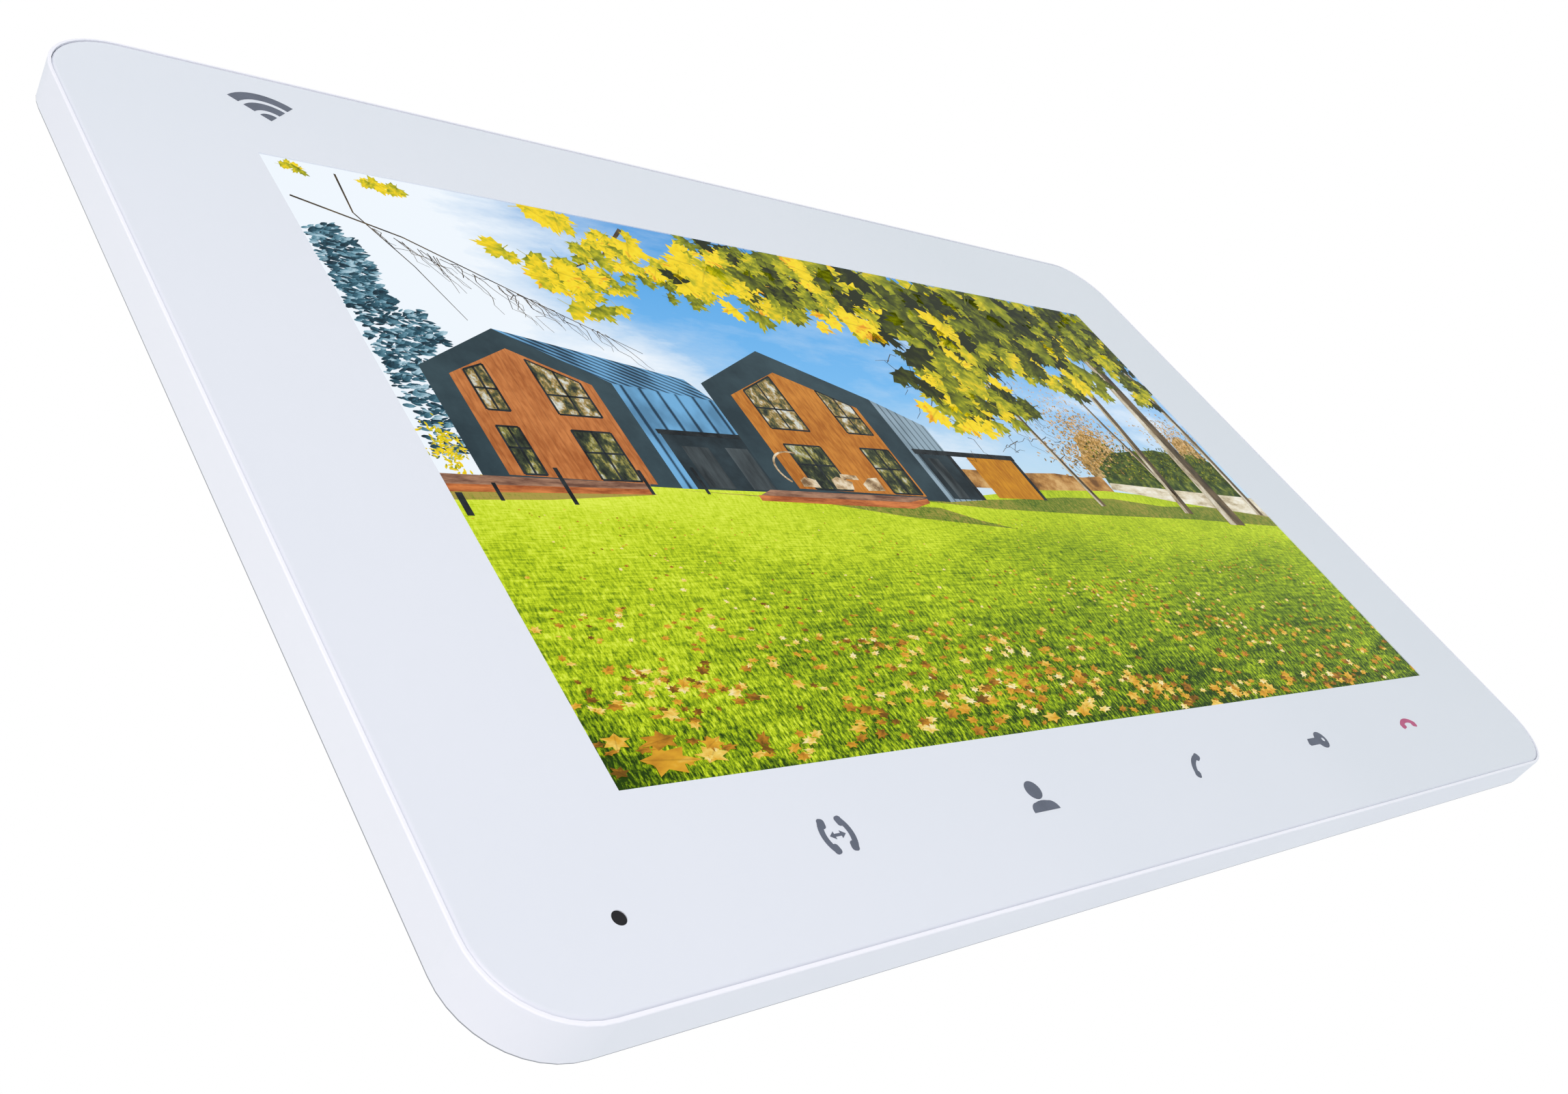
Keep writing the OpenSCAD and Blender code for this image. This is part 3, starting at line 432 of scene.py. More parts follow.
for part in frame["record"]["subparts"]:
    shown = frame["nodes"][part["node"]]
    finish = finishes.get(part["material_slot"])
    if finish:
        shown.data.materials.clear()
        shown.data.materials.append(finish)
print("finishes made:", len(finishes))


# the picture on the display: flat shapes in thin layers just behind the face
picture = {
    "depth": 0.18,   # millimetres from the face to the sheet at the back of the picture
    "step": 0.006,   # from one layer to the next
    "sheet": 0.75,   # thickness of the sheet
    "thin": 0.003,   # thickness of leaves and limbs
    "seed": 7,
    "gloss": 0.05,
    "rough": 0.35,
}

# the layer of each piece, counted forward from the sheet
layers = {
    "pictureSheet": 0, "autumnBody": 1, "conifer": 1, "autumnTrees": 2, "gardenFence": 4, "hedgeBody": 5,
    "shrub": 5, "hedgeLeaves": 5.5, "lawnField": 7, "lawnShade": 8, "gardenPath": 8.5, "sideWall": 9,
    "farWall": 9, "sheetRoof": 10, "linkBuilding": 10, "linkDoors": 11, "woodBlock": 11,
    "houseShells": 11, "flatRoof": 12, "leftFront": 12, "rightFront": 12, "upperPanes": 13,
    "lowerPanes": 13, "deckTops": 13, "glazingBars": 14, "deckEdges": 14, "gardenPosts": 16,
    "leafLitter": 17, "deckSeats": 17, "seatHoop": 18, "twigs": 18, "trunks": 22, "litTrunkSides": 22.6,
    "mapleLeaves": 23,
}


def at(across, up, layer):
    # a point of the picture: 0 to 1 from the left and from the bottom
    return Vector((lensLow.x + across * pictureWidth,
                   faceY + (picture["depth"] - picture["step"] * layer) * millimetre,
                   lensLow.z + up * pictureHeight))


def finishPiece(name, bm, look):
    bmesh.ops.recalc_face_normals(bm, faces=bm.faces)
    mesh = bpy.data.meshes.new(name)
    bm.to_mesh(mesh)
    bm.free()
    mesh.materials.append(prints[look])
    piece = bpy.data.objects.new(name, mesh)
    scene.collection.objects.link(piece)
    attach(piece, "monitor")


def thicken(bm, faces, depth):
    pushed = bmesh.ops.extrude_face_region(bm, geom=faces)
    moved = [part for part in pushed["geom"] if isinstance(part, bmesh.types.BMVert)]
    bmesh.ops.translate(bm, verts=moved, vec=(0, depth, 0))


def trimToPicture(bm):
    # cuts off what overhangs the picture and closes the cuts
    for corner, out in ((at(0, 0, 0), (-1, 0, 0)), (at(0, 0, 0), (0, 0, -1)),
                        (at(1, 1, 0), (1, 0, 0)), (at(1, 1, 0), (0, 0, 1))):
        cut = bmesh.ops.bisect_plane(bm, geom=bm.verts[:] + bm.edges[:] + bm.faces[:], plane_co=corner,
                                     plane_no=out, clear_outer=True)["geom_cut"]
        rims = [part for part in cut if isinstance(part, bmesh.types.BMEdge)]
        bmesh.ops.holes_fill(bm, edges=rims, sides=0)


def shapes(name, outlines, look, depth=picture["step"]):
    # flat shapes drawn by their corners, with the layer's thickness behind them
    bm = bmesh.new()
    for points in outlines:
        face = bm.faces.new([bm.verts.new(at(across, up, layers[name])) for across, up in points])
        thicken(bm, [face], depth * millimetre)
    finishPiece(name, bm, look)


def rect(left, low, right, high):
    return [(left, low), (right, low), (right, high), (left, high)]


def newPrint(name):
    # a lit picture colour: it glows by itself and barely reflects
    finish, tree, shader = newFinish(name + "Print")
    setInputs(shader, Base_Color=(0, 0, 0, 1), Specular_IOR_Level=picture["gloss"],
              Roughness=picture["rough"], Emission_Strength=1)
    return finish, tree


def glow(finish, colour):
    tree = finish.node_tree
    tree.links.new(colour, tree.nodes["Principled BSDF"].inputs["Emission Color"])
    return finish


def pictureSpace(tree):
    # the object's own coordinates, and across and up of the picture, 0 to 1
    place = ownPlace(tree)
    shift = addNode(tree, "ShaderNodeMapping",
                    [("Vector", place),
                     ("Location", (-lensLow.x / pictureWidth, 0, -lensLow.z / pictureHeight)),
                     ("Scale", (1 / pictureWidth, 1, 1 / pictureHeight))])
    split = addNode(tree, "ShaderNodeSeparateXYZ", [(0, shift.outputs["Vector"])])
    return place, split.outputs["X"], split.outputs["Z"]


def addRamp(tree, factor, stops):
    # each stop: its place from 0 to 1, then red, green and blue
    ramp = addNode(tree, "ShaderNodeValToRGB", [("Fac", factor)])
    while len(ramp.color_ramp.elements) < len(stops):
        ramp.color_ramp.elements.new(0.5)
    for element, (place, *colour) in zip(ramp.color_ramp.elements, stops):
        element.position = place
        element.color = paint(*colour)
    return ramp.outputs["Color"]


def addNoise(tree, vector, scale, detail, stretch=(1, 1, 1), rough=0.5, turn=0.0):
    spread = addNode(tree, "ShaderNodeMapping",
                     [("Vector", vector), ("Scale", stretch), ("Rotation", (0, math.radians(turn), 0))])
    return addNode(tree, "ShaderNodeTexNoise",
                   [("Vector", spread.outputs[0]), ("Scale", scale), ("Detail", detail),
                    ("Roughness", rough)]).outputs["Fac"]


sky = {
    "stops": [(0.4, 212, 228, 236), (0.52, 176, 213, 240), (0.66, 116, 184, 238), (0.85, 92, 168, 230),
              (1.0, 84, 156, 220)],
    "cloud": paint(238, 245, 252),
    "haze": paint(206, 224, 240),
}


def skyPrint(name):
    # blue that pales towards the ground, with slanting cloud that gathers at the upper left
    finish, tree = newPrint(name)
    place, across, up = pictureSpace(tree)
    blue = addRamp(tree, up, sky["stops"])
    drift = addNoise(tree, place, 13, 7.0, (1, 1, 2.4), 0.62, 28)
    wisps = addNoise(tree, place, 34, 6.0, (0.5, 1, 3.0), 0.65, 12)
    gather = addRange(tree, addSum(tree, across, addSwing(tree, up, 0.7, 0.35)), 0.1, 0.42, 0.4, 0.0)
    body = addSum(tree, drift, gather, addMath(tree, "MULTIPLY", wisps, 0.26))
    soft = addMix(tree, addRange(tree, body, 0.6, 0.8, 0.0, 0.6), blue, sky["haze"])
    return glow(finish, addMix(tree, addRange(tree, body, 0.72, 0.94), soft, sky["cloud"]))


lawn = {
    "horizon": 0.475,
    "nearest": 0.03,   # the least distance below the horizon, so that the ground plane stays finite
    "stops": [(0.22, 34, 60, 4), (0.4, 98, 128, 10), (0.54, 146, 172, 16), (0.7, 194, 216, 30),
              (0.9, 226, 240, 84)],
    "shade": [(0.3, 38, 58, 14), (0.46, 70, 96, 20), (0.58, 112, 134, 34), (0.7, 168, 150, 70)],
}


def lawnPrint(name, stops, lift):
    # grass: noise on a ground plane that runs back to the horizon, over fine upright blades
    finish, tree = newPrint(name)
    place, across, up = pictureSpace(tree)
    below = addMath(tree, "MAXIMUM", addMath(tree, "SUBTRACT", lawn["horizon"], up), lawn["nearest"])
    near = addMath(tree, "DIVIDE", 1.0, below)
    ground = addNode(tree, "ShaderNodeCombineXYZ", [("X", addSwing(tree, across, 0.5, near)), ("Y", near)])
    turf = addNoise(tree, ground.outputs[0], 9.0, 7.0, (1, 1.3, 1), 0.72)
    blades = addNoise(tree, place, 1000, 4.0, (1.9, 1, 0.7), 0.75, 18)
    patches = addNoise(tree, place, 60, 3.0, (0.7, 1, 1.6))
    coarse = addRange(tree, up, 0.0, 0.36, 2.2, 0.6)
    level = addSum(tree, 0.5 + lift, addSwing(tree, turf, 0.5, 0.9), addSwing(tree, blades, 0.5, coarse),
                   addSwing(tree, patches, 0.5, 0.35), addRange(tree, up, 0.02, 0.4, -0.13, 0.19),
                   addRange(tree, across, 0.1, 0.6, 0.09, -0.05))
    corner = addSum(tree, addRange(tree, across, 0.0, 0.1, 1.0, 0.0),
                    addRange(tree, up, 0.0, 0.16, 0.7, -0.3))
    level = addMath(tree, "SUBTRACT", level, addRange(tree, corner, 0.9, 1.7, 0.0, 0.26))
    return glow(finish, addRamp(tree, level, stops))


def speckPrint(name, stops, scale, stretch=(1, 1, 1)):
    # boarded, leafy, rough or mirrored surfaces: tints along a noise
    finish, tree = newPrint(name)
    return glow(finish, addRamp(tree, addNoise(tree, ownPlace(tree), scale, 5.0, stretch, 0.65), stops))


def ribPrint(name, light, dark, pitch, lean, wide):
    # standing seams of a sheet roof or wall
    finish, tree = newPrint(name)
    place, across, up = pictureSpace(tree)
    slide = addSum(tree, across, addMath(tree, "MULTIPLY", up, lean))
    wave = addMath(tree, "FRACT", addMath(tree, "MULTIPLY", slide, pitch))
    seam = addRange(tree, addMath(tree, "ABSOLUTE", addMath(tree, "SUBTRACT", wave, 0.5)), wide, 0.5)
    cloudy = addNoise(tree, place, 130, 4.0, (1, 1, 0.6))
    level = addMath(tree, "SUBTRACT", addRange(tree, cloudy, 0.35, 0.6, 0.45, 1.0), seam)
    return glow(finish, addRamp(tree, level, [(0.0, *dark), (0.9, *light)]))


facing = {"boards": 130, "gap": 0.14, "shadow": 0.35, "grain": 1100, "drift": 90}


def boardPrint(name, light, dark, gap):
    # upright boards with a fine shadow gap beside each and a grain that runs along them
    finish, tree = newPrint(name)
    place, across = pictureSpace(tree)[:2]
    rows = addMath(tree, "MULTIPLY", across, facing["boards"])
    grain = addNoise(tree, place, facing["grain"], 4.0, (1.5, 1, 0.4))
    drift = addNoise(tree, place, facing["drift"], 2.0)
    level = addSum(tree, addMath(tree, "MULTIPLY", grain, 0.55), addMath(tree, "MULTIPLY", drift, 0.45))
    wood = addMix(tree, addRange(tree, level, 0.38, 0.62), paint(*dark), paint(*light))
    shadow = addRange(tree, addMath(tree, "FRACT", rows), 0.0, facing["gap"], facing["shadow"], 0.0)
    return glow(finish, addMix(tree, shadow, wood, paint(*gap)))


def tonePrint(name, *stops):
    # each leaf carries its own tone; its veins follow its own map
    finish, tree = newPrint(name)
    tone = addNode(tree, "ShaderNodeAttribute", attribute_name="tone")
    leafMap = addNode(tree, "ShaderNodeUVMap", uv_map="leafMap").outputs["UV"]
    blotch = addNode(tree, "ShaderNodeTexNoise", [("Vector", leafMap), ("Scale", 2.6), ("Detail", 4.0)])
    split = addNode(tree, "ShaderNodeSeparateXYZ", [(0, leafMap)])
    level = addSum(tree, tone.outputs["Fac"], addSwing(tree, blotch.outputs["Fac"], 0.5, 0.9),
                   addMath(tree, "MULTIPLY", split.outputs["X"], 0.1),
                   addRange(tree, split.outputs["Y"], -0.1, 0.8, -0.15, 0.09))
    rib = addRange(tree, addMath(tree, "ABSOLUTE", split.outputs["X"]), 0.012, 0.05, 0.78, 1.0)
    return glow(finish, addMix(tree, 1.0, addRamp(tree, level, stops), rib, "MULTIPLY"))


# what makes each print, and what it is given
recipes = {
    "sky": (skyPrint,),
    "lawn": (lawnPrint, lawn["stops"], 0.0),
    "lawnShade": (lawnPrint, lawn["shade"], -0.06),
    "woodRight": (boardPrint, (206, 134, 52), (168, 98, 28), (94, 54, 18)),
    "woodLeft": (boardPrint, (204, 128, 70), (166, 94, 44), (90, 48, 22)),
    "block": (boardPrint, (206, 140, 24), (172, 106, 10), (104, 62, 6)),
    "frame": (speckPrint, [(0.35, 38, 54, 62), (0.65, 58, 78, 86)], 60),
    "roof": (ribPrint, (112, 170, 214), (30, 52, 70), 110, 1.1, 0.12),
    "wall": (ribPrint, (112, 172, 216), (30, 58, 80), 62, 0.0, 0.36),
    "greyWall": (ribPrint, (146, 168, 182), (70, 88, 98), 130, 0.0, 0.34),
    "dim": (speckPrint, [(0.35, 26, 36, 42), (0.65, 52, 68, 76)], 90),
    "door": (speckPrint, [(0.35, 30, 36, 40), (0.65, 88, 98, 102)], 60, (3, 1, 0.6)),
    "glass": (speckPrint, [(0.36, 40, 46, 40), (0.45, 92, 92, 58), (0.52, 168, 140, 78),
                           (0.6, 206, 208, 196), (0.72, 226, 232, 232)], 420, (1.2, 1, 0.8)),
    "dimGlass": (speckPrint, [(0.38, 30, 36, 32), (0.5, 66, 74, 50), (0.58, 150, 142, 70),
                              (0.68, 196, 200, 190)], 400, (1.3, 1, 0.7)),
    "bar": (speckPrint, [(0.4, 22, 26, 30), (0.6, 44, 50, 54)], 300),
    "deckTop": (speckPrint, [(0.38, 104, 70, 56), (0.6, 172, 130, 104)], 260, (0.5, 1, 3.0)),
    "deckEdge": (speckPrint, [(0.38, 150, 76, 36), (0.6, 214, 128, 70)], 220, (0.6, 1, 3.0)),
    "autumnMass": (speckPrint, [(0.36, 104, 84, 40), (0.48, 160, 128, 70), (0.6, 206, 176, 126)], 700),
    "path": (speckPrint, [(0.36, 176, 160, 128), (0.5, 222, 212, 186), (0.64, 240, 236, 222)],
             220, (0.8, 1, 2.4)),
    "fence": (speckPrint, [(0.36, 112, 74, 34), (0.5, 178, 128, 66), (0.64, 214, 172, 110)], 220),
    "hedge": (speckPrint, [(0.34, 20, 36, 12), (0.47, 54, 74, 22), (0.58, 98, 112, 36),
                           (0.68, 150, 156, 60)], 420),
    "bark": (speckPrint, [(0.36, 46, 38, 28), (0.62, 112, 94, 68)], 190, (2.2, 1, 0.7)),
    "litBark": (speckPrint, [(0.36, 140, 122, 94), (0.5, 190, 178, 152), (0.64, 226, 220, 204)],
                200, (2.2, 1, 0.8)),
    "twig": (speckPrint, [(0.4, 42, 34, 26), (0.6, 92, 76, 52)], 400),
    "seat": (speckPrint, [(0.36, 120, 92, 62), (0.5, 198, 172, 134), (0.64, 236, 222, 196)], 420),
    "maple": (tonePrint, (0.0, 30, 36, 4), (0.22, 74, 82, 6), (0.42, 132, 140, 12), (0.56, 190, 184, 24),
              (0.7, 240, 208, 18), (0.85, 248, 222, 36), (1.0, 236, 158, 26)),
    "litter": (tonePrint, (0.0, 112, 78, 20), (0.25, 186, 126, 34), (0.55, 222, 166, 46),
               (0.8, 240, 208, 104), (1.0, 247, 234, 184)),
    "autumn": (tonePrint, (0.0, 112, 88, 34), (0.35, 170, 128, 54), (0.65, 214, 164, 86),
               (1.0, 232, 196, 150)),
    "needle": (tonePrint, (0.0, 18, 44, 58), (0.45, 50, 94, 112), (0.75, 100, 146, 164),
               (1.0, 176, 206, 220)),
}
prints = {name: make(name, *given) for name, (make, *given) in recipes.items()}

shapes("pictureSheet", [rect(0, 0, 1, 1)], "sky", picture["sheet"])
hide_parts("display_lens")
shapes("lawnField", [[(0, 0), (1, 0), (1, 0.424), (0.9, 0.43), (0.72, 0.447), (0.6, 0.44), (0.5, 0.418),
                      (0.2, 0.416), (0, 0.412)]], "lawn")
shapes("lawnShade", [[(0.43, 0.406), (0.52, 0.394), (0.66, 0.388), (0.84, 0.384), (1.0, 0.372), (1.0, 0.412),
                      (0.9, 0.418), (0.8, 0.414), (0.72, 0.428), (0.64, 0.426), (0.56, 0.416), (0.5, 0.412)],
                     [(0.18, 0.408), (0.3, 0.398), (0.4, 0.372), (0.53, 0.352), (0.49, 0.368), (0.45, 0.392)],
                     [(0.0, 0.38), (0.07, 0.384), (0.16, 0.398), (0.15, 0.404), (0.0, 0.4)]],
       "lawnShade")
print("sky and lawn made")

# two gabled houses, each a dark shell round a boarded front
houseRight = {
    "shell": [(0.278, 0.413), (0.47, 0.405), (0.47, 0.628), (0.37, 0.716), (0.278, 0.624)],
    "front": [(0.302, 0.42), (0.444, 0.414), (0.444, 0.604), (0.371, 0.668), (0.302, 0.605)],
    "upper": [[(0.32, 0.54), (0.362, 0.543), (0.362, 0.657), (0.32, 0.618)],
              [(0.407, 0.543), (0.438, 0.545), (0.438, 0.608), (0.407, 0.636)]],
    "lower": [rect(0.32, 0.42, 0.36, 0.508), rect(0.407, 0.418, 0.441, 0.511)],
    "side": [(0.47, 0.405), (0.518, 0.412), (0.518, 0.576), (0.47, 0.628)],
}
houseLeft = {
    "shell": [(0.03, 0.417), (0.186, 0.411), (0.186, 0.604), (0.108, 0.69), (0.03, 0.602)],
    "front": [(0.05, 0.422), (0.166, 0.416), (0.166, 0.596), (0.109, 0.652), (0.05, 0.592)],
    "upper": [[(0.063, 0.532), (0.081, 0.533), (0.081, 0.616), (0.063, 0.602)],
              [(0.12, 0.533), (0.156, 0.535), (0.156, 0.598), (0.12, 0.634)]],
    "lower": [rect(0.062, 0.424, 0.079, 0.504), rect(0.121, 0.42, 0.154, 0.505)],
    "roof": [(0.108, 0.69), (0.186, 0.604), (0.278, 0.588), (0.262, 0.628)],
    "side": [(0.186, 0.411), (0.278, 0.411), (0.278, 0.588), (0.186, 0.604)],
}
glazing = {"thick": 0.0019, "columns": 2, "rows": 2, "rail": 0.55}


def barsOf(pane):
    # a frame round a pane and its glazing bars
    left, right = min(p[0] for p in pane), max(p[0] for p in pane)
    low = min(p[1] for p in pane)
    top = {left: max(p[1] for p in pane if p[0] == left), right: max(p[1] for p in pane if p[0] == right)}
    half = glazing["thick"] / 2
    tall = half * pictureWidth / pictureHeight
    out = []
    for i in range(glazing["columns"] + 1):
        across = left + (right - left) * i / glazing["columns"]
        high = top[left] + (top[right] - top[left]) * i / glazing["columns"]
        out.append(rect(across - half, low, across + half, high))
    for i in range(glazing["rows"]):
        up = low + (min(top.values()) - low) * i * glazing["rail"]
        out.append(rect(left, up - tall, right, up + tall))
    out.append([(left, top[left] - tall), (right, top[right] - tall),
                (right, top[right] + tall), (left, top[left] + tall)])
    return out


shapes("sideWall", [houseLeft["side"]], "wall")
shapes("farWall", [houseRight["side"]], "greyWall")
shapes("sheetRoof", [houseLeft["roof"]], "roof")
shapes("linkBuilding", [rect(0.2, 0.411, 0.278, 0.517), rect(0.478, 0.412, 0.52, 0.508)], "dim")
shapes("linkDoors", [rect(0.212, 0.414, 0.237, 0.49), rect(0.254, 0.414, 0.276, 0.492),
                     rect(0.486, 0.414, 0.5, 0.5)], "door")
shapes("flatRoof", [rect(0.474, 0.508, 0.612, 0.519), rect(0.198, 0.511, 0.278, 0.52),
                    rect(0.516, 0.412, 0.521, 0.51), rect(0.606, 0.417, 0.611, 0.51)], "bar")
shapes("woodBlock", [[(0.542, 0.418), (0.607, 0.418), (0.608, 0.508), (0.542, 0.508)]], "block")
shapes("houseShells", [houseLeft["shell"], houseRight["shell"]], "frame")
shapes("leftFront", [houseLeft["front"]], "woodLeft")
shapes("rightFront", [houseRight["front"]], "woodRight")
shapes("upperPanes", houseLeft["upper"] + houseRight["upper"], "glass")
shapes("lowerPanes", houseLeft["lower"] + houseRight["lower"], "dimGlass")
bars = []
for pane in houseLeft["upper"] + houseRight["upper"] + houseLeft["lower"] + houseRight["lower"]:
    bars += barsOf(pane)
shapes("glazingBars", bars, "bar")
shapes("deckTops", [[(0.0, 0.402), (0.156, 0.406), (0.16, 0.417), (0.0, 0.42)],
                    [(0.255, 0.403), (0.42, 0.401), (0.442, 0.412), (0.27, 0.415)]], "deckTop")
shapes("deckEdges", [[(0.0, 0.392), (0.156, 0.398), (0.156, 0.407), (0.0, 0.404)],
                     [(0.254, 0.394), (0.416, 0.388), (0.442, 0.401), (0.442, 0.41), (0.416, 0.401),
                      (0.254, 0.404)]], "deckEdge")
shapes("gardenPosts", [rect(0.086, 0.377, 0.0895, 0.437), rect(0.0325, 0.38, 0.0355, 0.408),
                       rect(0.003, 0.356, 0.008, 0.391), rect(0.155, 0.398, 0.158, 0.44),
                       rect(0.2055, 0.402, 0.2085, 0.45)], "bar")
print("houses made")

# garden behind the lawn, on the right
shapes("gardenFence", [[(0.5, 0.44), (0.735, 0.44), (0.735, 0.484), (0.7, 0.478), (0.66, 0.484),
                        (0.61, 0.48), (0.5, 0.48)]], "fence")
shapes("gardenPath", [[(0.735, 0.452), (0.83, 0.428), (1.0, 0.398), (1.0, 0.448), (0.86, 0.458),
                       (0.74, 0.468)]], "path")
shapes("hedgeBody", [[(0.738, 0.462), (0.985, 0.44), (0.985, 0.545), (0.955, 0.566), (0.925, 0.556),
                      (0.885, 0.568), (0.84, 0.56), (0.79, 0.548), (0.745, 0.505)]], "hedge")
shapes("autumnBody", [[(0.725, 0.48), (0.795, 0.48), (0.802, 0.55), (0.788, 0.59), (0.768, 0.6),
                       (0.75, 0.585), (0.738, 0.545), (0.722, 0.515)],
                      [(0.932, 0.54), (0.98, 0.54), (0.978, 0.605), (0.956, 0.615), (0.938, 0.595)]],
       "autumnMass")


def leafBody(half):
    # half an outline, mirrored; the leaf lies in X and Z and its stem leaves at the origin
    bm = bmesh.new()
    bm.faces.new([bm.verts.new((across, 0, up)) for across, up in half])
    bmesh.ops.mirror(bm, geom=bm.verts[:] + bm.edges[:] + bm.faces[:], axis="X", merge_dist=1e-5)
    bmesh.ops.dissolve_limit(bm, angle_limit=0.01, verts=bm.verts, edges=bm.edges)
    thicken(bm, bm.faces[:], picture["thin"])
    bmesh.ops.recalc_face_normals(bm, faces=bm.faces)
    leafMap = bm.loops.layers.uv.new("leafMap")
    for face in bm.faces:
        for loop in face.loops:
            loop[leafMap].uv = (loop.vert.co.x, loop.vert.co.z)
    mesh = bpy.data.meshes.new("leafBody")
    bm.to_mesh(mesh)
    bm.free()
    return mesh


mapleLeaf = leafBody([(0.0, 1.0), (0.09, 0.75), (0.22, 0.8), (0.18, 0.48), (0.38, 0.64), (0.43, 0.54),
                      (0.72, 0.6), (0.65, 0.43), (0.9, 0.3), (0.5, 0.12), (0.58, 0.0), (0.14, 0.05),
                      (0.02, 0.0), (0.015, -0.35), (0.0, -0.36)])
plainLeaf = leafBody([(0.0, 1.0), (0.18, 0.72), (0.24, 0.4), (0.14, 0.1), (0.0, 0.0)])
curledLeaf = leafBody([(0.0, 1.0), (0.16, 0.62), (0.5, 0.66), (0.34, 0.3), (0.62, 0.12), (0.2, 0.06),
                       (0.0, -0.2)])

draw = random.Random(picture["seed"])
stack = {"places": 40, "gap": 0.0007}   # heights shared by a piece's leaves, millimetres apart


def scatter(name, body, look, leaves):
    # leaves: place across and up, size in millimetres, turn in degrees, narrowing, flattening, tone
    bm = bmesh.new()
    tone = bm.faces.layers.float.new("tone")
    for i, (across, up, size, turn, narrow, flat, shade) in enumerate(leaves):
        kept, drawn = len(bm.verts), len(bm.faces)
        bm.from_mesh(body)
        bm.verts.ensure_lookup_table()
        bm.faces.ensure_lookup_table()
        height = layers[name] + (i % stack["places"]) * stack["gap"] / picture["step"]
        fit = (Matrix.Translation(at(across, up, height))
               @ Matrix.Diagonal((1, 1, flat, 1))
               @ Matrix.Rotation(math.radians(turn), 4, "Y")
               @ Matrix.Diagonal((size * narrow * millimetre, millimetre, size * millimetre, 1)))
        bmesh.ops.transform(bm, matrix=fit, verts=bm.verts[kept:])
        for face in bm.faces[drawn:]:
            face[tone] = shade
    trimToPicture(bm)
    finishPiece(name, bm, look)


def inPicture(across, up):
    return 0 < across < 1 and 0 < up < 1


def clump(count, middle, spread, size, tones, turns=(0, 360), narrow=(0.6, 1.0)):
    out = []
    while len(out) < count:
        across, up = draw.gauss(middle[0], spread[0]), draw.gauss(middle[1], spread[1])
        if inPicture(across, up):
            out.append((across, up, draw.uniform(*size), draw.uniform(*turns), draw.uniform(*narrow), 1,
                        draw.uniform(*tones)))
    return out


litter = {
    "count": 1350,
    "small": 0.3,      # millimetres, far and near
    "large": 3.7,
    "drifts": 46,
    "gathered": 0.45,   # share that lies in the drifts
    "sway": 0.03,      # how far around the middle of its drift
    "farthest": 0.392,  # up of the farthest leaves
    "nearest": 0.006,   # and what all leaves are raised by
}
# each drift and leaf has a depth: 0 at the back of the lawn, 1 at its front
drifts = [(draw.uniform(0.02, 0.98), draw.random() ** 0.9) for i in range(litter["drifts"])]
fallen = []
while len(fallen) < litter["count"]:
    if draw.random() < litter["gathered"]:
        middle = draw.choice(drifts)
        across, depth = draw.gauss(middle[0], litter["sway"]), middle[1] + draw.gauss(0, litter["sway"])
    else:
        across, depth = draw.uniform(0.0, 1.0), draw.random() ** 0.75
    if not 0 <= depth <= 1 or draw.random() > 0.35 + 0.65 * min(across * 1.4, 1) and depth < 0.6:
        continue
    up = litter["farthest"] * (1 - depth) + litter["nearest"]
    size = litter["small"] + (litter["large"] - litter["small"]) * depth ** 1.5 * draw.uniform(0.45, 1.1)
    if inPicture(across, up):
        fallen.append((across, up, size, draw.uniform(0, 360), draw.uniform(0.5, 1.0),
                       draw.uniform(0.4, 0.75), draw.random()))
fallen += [(0.03, 0.028, 8.0, 100, 0.9, 0.55, 0.5), (0.052, 0.052, 6.0, 250, 0.8, 0.5, 0.3),
           (0.07, 0.02, 5.0, 30, 0.9, 0.55, 0.75), (0.016, 0.06, 4.5, 190, 0.8, 0.55, 0.65)]
scatter("leafLitter", curledLeaf, "litter", fallen)
print("leaf litter made:", len(fallen))

scatter("autumnTrees", plainLeaf, "autumn",
        clump(1300, (0.775, 0.585), (0.026, 0.034), (0.5, 1.2), (0.0, 1.0))
        + clump(420, (0.735, 0.53), (0.026, 0.02), (0.5, 1.3), (0.0, 0.8))
        + clump(160, (0.76, 0.68), (0.03, 0.04), (0.4, 0.9), (0.5, 1.0))
        + clump(640, (0.948, 0.605), (0.024, 0.03), (0.5, 1.1), (0.0, 1.0)))
scatter("hedgeLeaves", plainLeaf, "maple",
        [(draw.uniform(0.752, 0.984), draw.uniform(0.485, 0.572), draw.uniform(0.6, 1.4),
          draw.uniform(0, 360), draw.uniform(0.6, 1), 1, draw.uniform(0.0, 0.42)) for i in range(700)])
conifer = {
    "tiers": 20,
    "low": 0.455,
    "high": 0.835,
    "reach": 0.082,   # of the lowest tier
    "taper": 0.55,    # what the highest tier loses of it
    "lift": 0.022,    # how far a branch rises towards its end
    "stray": 0.006,
    "sprigs": 100,
}
needles = []
for tier in range(conifer["tiers"]):
    share = tier / (conifer["tiers"] - 1)
    up = conifer["low"] + (conifer["high"] - conifer["low"]) * share
    reach = conifer["reach"] * (1 - conifer["taper"] * share) * draw.uniform(0.65, 1.1)
    for i in range(conifer["sprigs"]):
        along = draw.random() ** 0.8
        place = (along * reach, up + conifer["lift"] * along + draw.gauss(0, conifer["stray"]))
        needles.append((*place, draw.uniform(0.9, 2.4), draw.uniform(50, 115), draw.uniform(0.5, 1.0), 1,
                        draw.random() ** 1.3))
scatter("conifer", plainLeaf, "needle", needles)
scatter("shrub", plainLeaf, "maple", clump(150, (0.017, 0.46), (0.006, 0.02), (0.6, 1.3), (0.55, 0.85)))
print("garden made")


